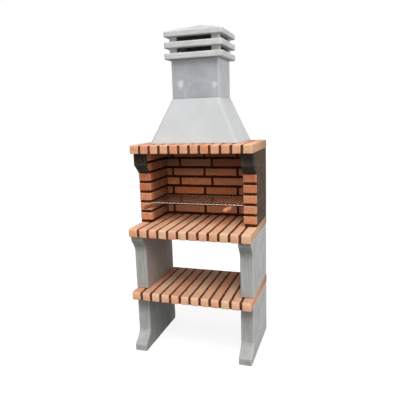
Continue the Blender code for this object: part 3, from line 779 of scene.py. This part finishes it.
def castLeg(kind, node, material):
    low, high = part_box(node)
    form, isFoot, face = leg[kind], kind == "foot", rearY - leg["depth"]
    level = (low.z + form["height"] if isFoot else high.z - form["height"]) - form["slope"]
    panel = newBlock(node.replace("lower_leg", "foot_panel").replace("upper_leg", "corbel_panel"),
                     (low.x, face, low.z), (high.x, high.y, high.z))
    edit(panel)
    cutAcross(2, level)
    pick("FACE", lambda mid, way: way.y < -0.9 and (mid.z < level) == isFoot)
    drawOut((0, -form["reach"], 0))
    pick("VERT", lambda co: co.y < face - hair and abs(co.z - level) < hair)
    bpy.ops.transform.translate(value=(0, 0, form["slope"]))
    leave()
    arrises = sharpLines(panel)
    edit(panel)
    pick("EDGE", lambda mid, way: abs(way.x) > 0.9 and max(abs(mid.y - face), abs(mid.z - level)) < hair)
    bpy.ops.mesh.bevel(offset=form["fillet"], segments=7)
    leave()
    roundSharp(panel, leg["arris"], 30, 3)
    score(panel, leg["cuts"], inset=leg["arris"] * 1.5)
    weather(panel, arrises, leg)
    near, far = sorted((abs(low.x), abs(high.x)))
    # painted shade on the faces towards the bay, and painted light on the outer sides
    mark(panel, "sootAndShade", lambda co: form["tint"] * ramp(abs(co.x) - near, *leg["innerFace"]))
    mark(panel, "filmAndLight", lambda co: leg["outerSideLight"] * ramp(abs(co.x) - far, *leg["outerFace"]))
    settle(panel, material, "cast_concrete", node)


for sideName in ("left", "right"):
    castLeg("foot", f"lower_leg_{sideName}", footStone)
    castLeg("corbel", f"upper_leg_{sideName}", legStone)
print("legs are cast")


# firebox: courses of brick proud of raked joints, cement skins outside

wallTones = {"clear": "#c2815c", "warm": "#cb8760", "deep": "#b56c44", "soft": "#bf8967", "fresh": "#ee9562",
             "amber": "#dc966e", "ember": "#f5a470", "glow": "#dd8a55"}
sideTones = ["warm", "clear", "soft", "clear", "deep", "deep", "deep"]
# painted light and shade in the back wall's tones: lighter in the middle courses, where light reaches the
# wall, darker in the top courses under the mantel
backLitAndShadedTones = ["soft clear warm", "warm glow warm", "warm fresh glow", "ember amber ember", "clear warm warm",
             "soft deep soft", "deep clear deep"]
slip = {"near": 0.0015, "far": 0.022, "reach": 0.031, "rear": 0.010, "foot": 1.1102, "tip": 1.1384,
        "arris": 0.002, "cuts": (0.011, 0.009, 0.009)}
core = {"sideCuts": (0.012, 0.010, 0.006), "sideRough": 0.0022, "backCuts": (0.012, 0.012, 0.006),
        "backRough": 0.0018, "play": 0.0002}
skin = {"thick": 0.0068, "rear": 0.006, "sideCuts": (0.03, 0.012, 0.014), "backCuts": (0.012, 0, 0.012),
        "rimReach": 0.012, "dents": 0.0016, "fine": 0.0008}


def courseZ(course):
    return wallLow.z + wall["firstBed"] + (course - 1) * wall["pitch"]


def wallBrick(name, low, high, tone, roundSides=(), outward=0.0):
    # roundSides: the upright front corners with the larger radius, as -1 for left and 1 for right
    brick = newBlock(name, low, high)
    if outward:
        # the front of an outer brick steps out past the cement skin
        edit(brick)
        cutAcross(1, low.y + wall["return"])
        way = math.copysign(1, outward)
        pick("FACE", lambda mid, normal: normal.x * way > 0.9 and mid.y < low.y + wall["return"])
        drawOut((outward, 0, 0))
        leave()
    arrises = sharpLines(brick)
    edit(brick)
    ends = [v.co.x for v in bmesh.from_edit_mesh(brick.data).verts]
    for which in roundSides:
        edge = max(ends) if which > 0 else min(ends)
        pick("EDGE", lambda mid, way: abs(way.z) > 0.9 and max(mid.y - low.y, abs(mid.x - edge)) < hair)
        bpy.ops.mesh.bevel(offset=wall["outerNose"] if which * outward > 0 else wall["nose"], segments=4)
    leave()
    roundSharp(brick, wall["arris"])
    score(brick, wall["cuts"], inset=wall["arris"] * 1.7)
    weather(brick, arrises, wall, slabDents, fireboxSootAndShade)
    stain(brick, wallTones[tone])
    return brick


def thinBrick(side, z):
    # a slip that carries the course on beside the bracket, sawn off along the bracket's slope
    xs = sorted(side * (inner + slip[end]) for end in ("near", "far"))
    front, rear = wall["depth"] + slip["reach"], wall["depth"] - slip["rear"]
    piece = newBlock("slip", at(xs[0], front, z), at(xs[1], rear, z + wall["brick"]))
    foot = at(0, wall["depth"] + play, slip["foot"])
    sawOff(piece, foot, underSlope(foot, at(0, front, slip["tip"])))
    arrises = sharpLines(piece)
    roundSharp(piece, slip["arris"], 40)
    score(piece, slip["cuts"])
    weather(piece, arrises, wall, slabDents, fireboxSootAndShade)
    stain(piece, wallTones["deep"])
    return piece


def rakedMortar(where, low, high, node):
    # the mortar that the courses stand in
    piece = newBlock(f"firebox_joints_{where}", low, high)
    kind = "back" if where == "back" else "side"
    score(piece, core[kind + "Cuts"])
    pressIn(piece, combNoise, core[kind + "Rough"])
    smooth(piece, 50)
    settle(piece, jointStone, "dark_mortar", node)


def trowelled(piece, cuts, node):
    # the cement skin, scored, dented and put in its place
    lines = sharpLines(piece)
    score(piece, cuts)
    weather(piece, lines, skin)
    settle(piece, skinStone, "dark_cement", node)


def sideWall(sideName, side):
    node = f"firebox_side_{sideName}"
    hide, rearEnd = outer - skin["thick"] - play, skin["rear"] + wall["rearPlay"]
    bricks = []
    for course in range(1, wall["courses"] + 1):
        z = courseZ(course)
        near = wall["depth"] - (wall["stretcher"] if course % 2 else wall["bat"])
        # the two bricks in a course, front brick first
        for front, rear in ((wall["depth"], near), (near - wall["joint"], rearEnd)):
            isFront = rear == near
            xs = sorted((side * inner, side * hide))
            step = side * (outer - hide) if isFront and course <= wall["openCourses"] else 0.0
            bricks.append(wallBrick(
                f"{sideName}_{course}_{isFront}", at(xs[0], front, z), at(xs[1], rear, z + wall["brick"]),
                sideTones[(course + (0 if isFront else 3)) % 7], (-1, 1) if isFront else (), step))
        if course > wall["openCourses"]:
            bricks.append(thinBrick(side, z))
    settle(joinAll(bricks, f"firebox_bricks_{sideName}"), wallBrickStone, "wall_brick", node)

    xs = sorted((side * (inner + wall["rake"]), side * (outer - skin["thick"] - core["play"])))
    rakedMortar(sideName, at(xs[0], wall["depth"] - wall["faceRake"], wallLow.z),
                at(xs[1], skin["rear"] + play, wallHigh.z), node)

    # the cement skin outside and behind, with a tongue in each joint of the front corner
    xs = sorted((side * (outer - skin["thick"]), side * outer))
    front = wall["depth"] - wall["return"] - wall["returnPlay"]
    piece = newBlock(f"firebox_skin_{sideName}", at(xs[0], front, wallLow.z), at(xs[1], 0, wallHigh.z))
    edit(piece)
    levels = []
    for course in range(1, wall["openCourses"] + 1):
        levels += [courseZ(course) - hair, courseZ(course) + wall["brick"] + hair]
    for z in levels:
        cutAcross(2, z)
    pick("FACE", lambda mid, way: way.y < -0.9 and not any(
        a < mid.z < b for a, b in zip(levels[::2], levels[1::2])))
    drawOut((0, wall["tongueRake"] - wall["return"] - wall["returnPlay"], 0))
    pick("FACE", lambda mid, way: way.y < -0.9 and mid.z > levels[-1])
    drawOut((0, -wall["tongueRake"], 0))
    cutAcross(1, rearY - skin["rear"])
    pick("FACE", lambda mid, way: way.x * side < -0.9 and mid.y > rearY - skin["rear"])
    drawOut((side * (inner - outer + skin["thick"]), 0, 0))
    leave()
    trowelled(piece, skin["sideCuts"], node)


sideWall("left", -1)
sideWall("right", 1)

backLow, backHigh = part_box("firebox_back")
whole = wall["stretcher"] + wall["joint"]
starts = [0] + [wall["closer"] + wall["joint"] + n * whole for n in range(3)]
lengths = [wall["closer"], wall["stretcher"], wall["stretcher"], None]
backBricks = []
for course in range(1, wall["courses"] + 1):
    direction = 1 if course % 2 else -1
    for number, (start, length) in enumerate(zip(starts, lengths)):
        stop = start + length if length else backHigh.x - backLow.x
        xs = sorted((direction * (start - backHigh.x), direction * (stop - backHigh.x)))
        backBricks.append(wallBrick(
            f"back_{course}_{number}", at(xs[0], wall["back"], courseZ(course)),
            at(xs[1], skin["rear"] + wall["rearPlay"], courseZ(course) + wall["brick"]),
            backLitAndShadedTones[course - 1].split()[number % 3]))
settle(joinAll(backBricks, "firebox_bricks_back"), wallBrickStone, "wall_brick", "firebox_back")
rakedMortar("back", at(-inner - wall["rake"], wall["back"] - wall["faceRake"], backLow.z),
            at(inner + wall["rake"], skin["rear"] + play, backHigh.z), "firebox_back")
trowelled(newBlock("firebox_skin_back", (backLow.x, rearY - skin["rear"], backLow.z),
                   (backHigh.x, rearY, backHigh.z)), skin["backCuts"], "firebox_back")
print("firebox is built")


# brackets under the mantel

bracket = {"foot": 1.1022, "nib": 1.1532, "plate": 0.0247, "slipSide": 0.0223, "lift": 0.0077,
           "overrun": 0.01, "arris": 0.005, "cuts": (0.008, 0.008, 0.009), "rimReach": 0.012,
           "dents": 0.0012, "fine": 0.0005, "chips": 0.0025}
for sideName, side in (("left", -1), ("right", 1)):
    node, over = f"bracket_{sideName}", bracket["overrun"]
    low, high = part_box(node)
    root = Vector((0, high.y, bracket["foot"]))
    slope = underSlope(root, Vector((0, low.y, bracket["nib"])))
    corbel = newBlock(f"mantel_corbel_{sideName}", (low.x, low.y, bracket["foot"]), high)
    sawOff(corbel, root, slope)
    # the rebate that takes the thin bricks
    xs = sorted((side * (inner - over), side * (inner + bracket["slipSide"])))
    cutter = newBlock("rebate_cutter", (xs[0], low.y + bracket["plate"], low.z - over),
                      (xs[1], high.y + over, high.z + over))
    sawOff(cutter, root + Vector((0, 0, bracket["lift"])), slope)
    carve(corbel, cutter)
    turnOutwards(corbel)
    arrises = sharpLines(corbel)
    roundSharp(corbel, bracket["arris"], 30, 3, clamp_overlap=True)
    score(corbel, bracket["cuts"], inset=bracket["arris"] * 1.5)
    weather(corbel, arrises, bracket)
    settle(corbel, bracketStone, "dark_cement", node)
print("brackets are set")


# hood, flue and cap: one smoke path

def prism(name, lower, upper, overrun=0.0):
    # a closed block between two outlines: half width, rear and front depth, corner radius, z, steps
    share = overrun / (upper[4] - lower[4])
    ends = []
    for near, far in ((lower, upper), (upper, lower)):
        half, rear, front, radius, z = (n + (n - f) * share for n, f in zip(near[:5], far[:5]))
        end = newOutline("end", at(-half, front, z), at(half, rear, z), radius, near[5])
        hollowOut(end)
        ends.append(end)
    block = joinAll(ends, name)
    edit(block)
    bpy.ops.mesh.bridge_edge_loops()
    bpy.ops.mesh.select_all(action="SELECT")
    bpy.ops.mesh.fill_holes(sides=0)
    leave()
    turnOutwards(block)
    return block


# outlines are half width, rear and front depth, and corner radius
chimney = {
    "hood": (0.278, 0, 0.340, 0.025), "crown": (0.150, 0, 0.266, 0.020),
    "mouth": (0.248, 0.030, 0.310, 0.015), "bore": (0.118, 0.032, 0.234, 0.009),
    "flue": (0.146, 0.004, 0.262, 0.009), "overrun": 0.01,
}
hoodForm = {"arris": 0.002, "cuts": (0.014, 0.014, 0.014), "rimReach": 0.016, "dents": 0.0006,
            "side": (0.008, 0.002), "sideShade": 0.13, "corner": (0.8, 0.3), "cornerShade": 0.18}
flueForm = {"arris": 0.0015, "cuts": (0.012, 0.012, 0.012), "rimReach": 0.014, "dents": 0.0005,
            "rimX": 0.144, "rimDepths": (0.006, 0.260),
            "top": (-0.055, -0.02), "underCapLight": 0.42, "edge": (0.1425, 0.1450), "sideLight": 0.18}
cap = {"outline": (0.178, -0.028, 0.294, 0.016), "foot": 0.045, "footInset": 0.027, "footArris": 0.004,
       "sink": 0.006, "plate": 0.034, "edge": 0.030, "peak": 0.049,
       "arris": 0.0035, "cuts": (0.010, 0.010, 0.009), "rimReach": 0.011,
       "dents": 0.0010, "fine": 0.0005, "chips": 0.0025,
       "bore": (0.018, 0.065), "boreShade": 0.90, "side": 0.003, "sideShade": 0.06,
       "roofFrom": 0.001, "roofShade": 0.18}


def castShell(name, low, high, outside, bore, steps=4):
    # a hollow casting between two heights: the lower and upper outline outside, then inside
    heights = (low, high)
    shell = prism(name, *((*form, z, steps) for form, z in zip(outside, heights)))
    cutter = prism("bore_cutter", *((*form, z, steps) for form, z in zip(bore, heights)),
                   overrun=chimney["overrun"])
    carve(shell, cutter)
    turnOutwards(shell)
    return shell


def finishCast(piece, lines, values, dents, sootAndShade):
    roundSharp(piece, values["arris"])
    score(piece, values["cuts"])
    weather(piece, lines, values, dents, sootAndShade)


low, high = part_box("hood")


def hoodPaintedShade(co, rim):
    # painted shade on the side slopes and on the rounded front corners
    climb = (co.z - low.z) / (high.z - low.z)
    half, _, front, radius = (n + (m - n) * climb for n, m in zip(chimney["hood"], chimney["crown"]))
    inX, inDepth = half - abs(co.x), front + co.y - rearY
    corner = ramp(inX / radius, *hoodForm["corner"]) * ramp(inDepth / radius, *hoodForm["corner"])
    return hoodForm["sideShade"] * ramp(inX, *hoodForm["side"]) + hoodForm["cornerShade"] * corner


hood = castShell("smoke_hood", low.z, high.z, (chimney["hood"], chimney["crown"]),
                 (chimney["mouth"], chimney["bore"]), 6)
finishCast(hood, sharpLines(hood), hoodForm, castDents, hoodPaintedShade)
settle(hood, hoodStone, "pale_render", "hood")

low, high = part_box("flue")
block = castShell("flue_block", low.z, high.z, [chimney["flue"]] * 2, [chimney["bore"]] * 2)
# painted highlight: the flue's four upright corners are marked as rims, so they are lighter, and chipped
lines = [(at(x, depth, low.z), at(x, depth, high.z)) for x in (-flueForm["rimX"], flueForm["rimX"])
         for depth in flueForm["rimDepths"]]
roundSharp(block, flueForm["arris"])
score(block, flueForm["cuts"])
# painted light: a lighter band under the cap, against the cap's shadow, and lighter side faces
mark(block, "filmAndLight", lambda co: max(flueForm["underCapLight"] * ramp(co.z - high.z, *flueForm["top"]),
                                   flueForm["sideLight"] * ramp(abs(co.x), *flueForm["edge"])))
weather(block, lines, flueForm)
settle(block, flueStone, "smooth_cement", "flue")
print("hood and flue are cast")


def capPaintedShade(co):
    # painted shade: dark in the bores, between the plates and on the feet, none along the front, a little on
    # the sides
    half, rear, front, _ = cap["outline"]
    depth = rearY - co.y
    reach = min(half - abs(co.x), front - depth, depth - rear)
    onSide = half - abs(co.x) < cap["side"]
    return max(cap["boreShade"] * ramp(reach, *cap["bore"]), cap["sideShade"] * onSide)


def capFeet(bottom, top):
    # four blocks, sunk a little into the plate that they are cast with
    half, rear, front, _ = cap["outline"]
    size, inset = cap["foot"], cap["footInset"]
    feet = []
    for x in (-half + inset, half - inset - size):
        for depth in (rear + inset, front - inset - size):
            foot = newBlock("cap_foot", at(x, depth + size, bottom), at(x + size, depth, top))
            edit(foot)
            pick("EDGE", lambda mid, way: abs(way.z) > 0.9)
            bpy.ops.mesh.bevel(offset=cap["footArris"], segments=2)
            leave()
            feet.append(foot)
    return joinAll(feet, "cap_feet")


def capRoof(z0):
    # a plate whose top is poked up to a low peak
    half, rear, front, radius = cap["outline"]
    roof = newOutline("cap_roof", at(-half, front, z0), at(half, rear, z0), radius, 4)
    edit(roof)
    drawOut((0, 0, cap["edge"]))
    leave()
    turnOutwards(roof)
    edit(roof)
    pick("FACE", lambda mid, way: way.z > 0.9)
    bpy.ops.mesh.poke()
    centreY = at(0, (rear + front) / 2, 0).y
    pick("VERT", lambda co: abs(co.x) < 0.01 and abs(co.y - centreY) < 0.01)
    bpy.ops.transform.translate(value=(0, 0, cap["peak"]))
    leave()
    return roof


for node in ("cap_ring_lower", "cap_ring_middle", "cap_top"):
    low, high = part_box(node)
    isTop = node == "cap_top"
    z0 = high.z - (cap["edge"] + cap["peak"] if isTop else cap["plate"])
    plate = capRoof(z0) if isTop else castShell(node + "_plate", z0, high.z, [cap["outline"]] * 2,
                                                [chimney["bore"]] * 2)
    if low.z < z0 - hair:
        carve(plate, capFeet(low.z, z0 + cap["sink"]), "UNION")
        turnOutwards(plate)
    # painted shade: on the top plate's roof slopes, and elsewhere on each plate in the bores, between the
    # plates and on the feet
    slope = z0 + cap["edge"] + cap["roofFrom"]
    finishCast(plate, sharpLines(plate, 50), cap, slabDents,
               lambda co, rim: cap["roofShade"] if isTop and co.z > slope else capPaintedShade(co))
    settle(plate, capStone, "pale_render", node)
print("cap is stacked")


# wire grill: a bent frame, welded rods, two handles

grill = {
    "wire": 0.003, "bend": 0.015, "rod": 0.00175, "pitch": 0.025, "count": 22, "crossCount": 4,
    "rodEnd": 0.0006, "sides": 10, "knot": 0.0038, "knotFlat": (1.15, 1.0, 0.60), "knotShift": 0.0012,
    "smoked": 0.78, "smokedFrom": (0.003, 0.009), "dulled": 0.30,
}
frameLow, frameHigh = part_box("grill_frame")
inset = Vector((grill["wire"], grill["wire"], 0))
middle = (frameLow.z + frameHigh.z) / 2
loop = newOutline("bent_wire_frame", Vector((frameLow.x, frameLow.y, middle)) + inset,
                  Vector((frameHigh.x, frameHigh.y, middle)) - inset, grill["bend"], 6)
hollowOut(loop)
only(loop)
bpy.ops.object.convert(target="CURVE")
loop = bpy.context.object
loop.data.bevel_depth = grill["wire"]
loop.data.bevel_resolution = 3
only(loop)
bpy.ops.object.convert(target="MESH")
wireFrame = bpy.context.object
turnOutwards(wireFrame)
wireFrame.name = "bent_wire_frame"
smooth(wireFrame, 60)
mark(wireFrame, "sootAndShade", lambda co: grill["dulled"])
settle(wireFrame, wireMetal, "zinc_wire", "grill_frame", body="grill")


def straightRod(start, end):
    start, end = Vector(start), Vector(end)
    way = end - start
    only()
    bpy.ops.mesh.primitive_cylinder_add(vertices=grill["sides"], radius=grill["rod"], depth=way.length,
                                        location=(start + end) / 2,
                                        rotation=way.to_track_quat("Z", "Y").to_euler())
    bpy.ops.object.transform_apply()
    rod = named(bpy.context.object, "rod")
    roundSharp(rod, grill["rodEnd"], 60)
    return rod


low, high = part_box("grill_rods")
rodZ, crossZ = high.z - grill["rod"], low.z + grill["rod"]
rodXs = [(n - (grill["count"] - 1) / 2) * grill["pitch"] for n in range(grill["count"])]
wireRear, wireFront = frameHigh.y - grill["wire"], frameLow.y + grill["wire"]
crossYs = [wireFront + (wireRear - wireFront) * (n + 1) / (grill["crossCount"] + 1)
           for n in range(grill["crossCount"])]
rod = straightRod((0, low.y, rodZ), (0, high.y, rodZ))
rods = [copyOf(rod, "rod", (x, 0, 0)) for x in rodXs]
cross = straightRod((low.x, 0, crossZ), (high.x, 0, crossZ))
rods += [copyOf(cross, "cross", (0, y, 0)) for y in crossYs]
# a flat bead of weld under each rod, on the frame wires and the cross rods
only()
bpy.ops.mesh.primitive_ico_sphere_add(subdivisions=2, radius=grill["knot"])
bead = bpy.context.object
edit(bead)
bpy.ops.transform.resize(value=grill["knotFlat"])
leave()
knots = [(y, rodZ - grill["knotShift"]) for y in (wireFront, wireRear)]
knots += [(y, crossZ + grill["knotShift"]) for y in crossYs]
rods += [copyOf(bead, "bead", (x, y, z)) for x in rodXs for y, z in knots]
for pattern in (rod, cross, bead):
    bpy.data.objects.remove(pattern)
grid = joinAll(rods, "welded_rods")
# painted shade: the rods behind the front wire, inside the firebox, are darkened
mark(grid, "sootAndShade", lambda co: grill["smoked"] * ramp(co.y - wireFront, *grill["smokedFrom"]))
smooth(grid, 50)
settle(grid, wireMetal, "zinc_wire", "grill_rods", body="grill")

for sideName in ("left", "right"):
    node = f"handle_tang_{sideName}"
    tang = copyOf(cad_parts[node], f"bent_tang_{sideName}")
    tang.hide_render = tang.hide_viewport = False
    for key in list(tang.keys()):
        del tang[key]
    tang.parent = None
    turnOutwards(tang)
    smooth(tang, 50)
    settle(tang, wireMetal, "zinc_wire", node, body="grill")

# handles turned from beech: distance along the axis and radius there, from the rear end forward
grip = {
    "tilt": math.radians(5.5), "sides": 32, "bore": 0.0028, "boreDepth": 0.094, "leftHandleShade": 0.82,
    "rearRadius": 0.0070, "rootLift": 0.0095, "rootDrop": 0.0060,
    "turning": [(0, 0.0062), (0.0014, 0.0073), (0.0035, 0.0083), (0.0062, 0.0092), (0.0110, 0.0090),
                (0.0160, 0.0093), (0.0300, 0.0099), (0.0440, 0.0104), (0.0590, 0.0108), (0.0800, 0.0109),
                (0.1000, 0.0109), (0.1120, 0.0108), (0.1190, 0.0106), (0.1235, 0.0100), (0.1270, 0.0091),
                (0.1290, 0.0077), (0.1298, 0.0058)],
}
axis = Vector((0, -math.cos(grip["tilt"]), math.sin(grip["tilt"])))


def turnedHandle(node):
    low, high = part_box(node)
    root = Vector(((low.x + high.x) / 2, high.y - grip["rearRadius"] * axis.z,
                   low.z - grip["rootLift"] * axis.y - grip["rootDrop"] * axis.z))
    only()
    bpy.ops.mesh.primitive_circle_add(vertices=grip["sides"], radius=grip["turning"][0][1], fill_type="NGON",
                                      location=root, rotation=axis.to_track_quat("Z", "Y").to_euler())
    bpy.ops.object.transform_apply()
    handle = named(bpy.context.object, node + "_beech")
    edit(handle)
    for (here, radius), (there, wider) in zip(grip["turning"], grip["turning"][1:]):
        drawOut(axis * (there - here))
        bpy.ops.transform.resize(value=(wider / radius,) * 3, center_override=root + axis * there)
    pick("FACE", lambda mid, way: (mid - root).length < hair and abs(way.dot(axis)) > 0.9)
    bpy.ops.mesh.inset(thickness=grip["turning"][0][1] - grip["bore"])
    drawOut(axis * grip["boreDepth"])
    leave()
    turnOutwards(handle)
    return handle


for sideName in ("left", "right"):
    node = f"handle_grip_{sideName}"
    handle = turnedHandle(node)
    # painted shade: the left handle is darkened
    mark(handle, "sootAndShade", lambda co: grip["leftHandleShade"] * (co.x < 0))
    smooth(handle, 50)
    settle(handle, gripWood, "turned_wood", node, body="grill")
print("grill is welded")


# floor, surroundings and light

stage = {"floor": 9.0, "shadowTone": "#848482", "seenTone": "#6f6f6f", "glow": 0.86,
         "zenith": 0.72, "horizon": 0.64, "ground": 0.25}
lamps = {                         # round from the front to the right, and up, in degrees
    "high_soft_key": {"round": 8, "up": 55, "power": 2.65, "spread": 32},
    "low_side_fill": {"round": 82, "up": 14, "power": 1.3, "spread": 40},
}


def seenDirectly(tree):
    # 1 for the camera, and for what metal and glass show of the surroundings
    path = add(tree, "LightPath").node.outputs
    either = add(tree, "Math", {0: path["Is Camera Ray"], 1: path["Is Glossy Ray"]}, operation="MAXIMUM")
    return add(tree, "Math", {0: either, 1: path["Is Transmission Ray"]}, operation="MAXIMUM")


only()
bpy.ops.mesh.primitive_plane_add(size=stage["floor"], location=(0, 0, 0))
floor = bpy.context.object
floor.name = "pale_floor"
floorPaint, tree = newMaterial("matt_white_floor_paint")
seen = seenDirectly(tree)
feed(tree, tree.nodes["Principled BSDF"], {
    "Roughness": 0.9, "Specular IOR Level": 0.0, "Emission Color": "#ffffff",
    "Base Color": layOver(tree, stage["shadowTone"], (stage["seenTone"], seen)),
    "Emission Strength": add(tree, "MapRange", {0: seen, 4: stage["glow"]})})
floor.data.materials.append(floorPaint)

world = bpy.data.worlds.new("white_studio")
bpy.context.scene.world = world
world.use_nodes = True
tree = world.node_tree
height = add(tree, "SeparateXYZ", {0: add(tree, "TexCoord", out="Generated")}, 2)
above = add(tree, "MapRange", {0: height, 1: 0, 2: 0.9, 3: stage["horizon"], 4: stage["zenith"]},
            interpolation_type="SMOOTHSTEP")
below = add(tree, "MapRange", {0: height, 1: -0.25, 2: 0.05, 3: stage["ground"], 4: stage["horizon"]})
glow = add(tree, "Math", {0: below, 1: above}, operation="MINIMUM")
feed(tree, tree.nodes["Background"], {
    "Color": "#ffffff", "Strength": add(tree, "MapRange", {0: seenDirectly(tree), 3: glow, 4: 1.0})})

for name, lamp in lamps.items():
    turn, up = math.radians(lamp["round"]), math.radians(lamp["up"])
    towards = Vector((math.sin(turn) * math.cos(up), -math.cos(turn) * math.cos(up), math.sin(up)))
    bpy.ops.object.light_add(type="SUN", location=towards * 4)
    light = bpy.context.object
    light.name = name
    light.data.energy = lamp["power"]
    light.data.angle = math.radians(lamp["spread"])
    light.rotation_euler = towards.to_track_quat("Z", "Y").to_euler()
bpy.context.scene.view_settings.view_transform = "Standard"
print("floor, surroundings and light are set")
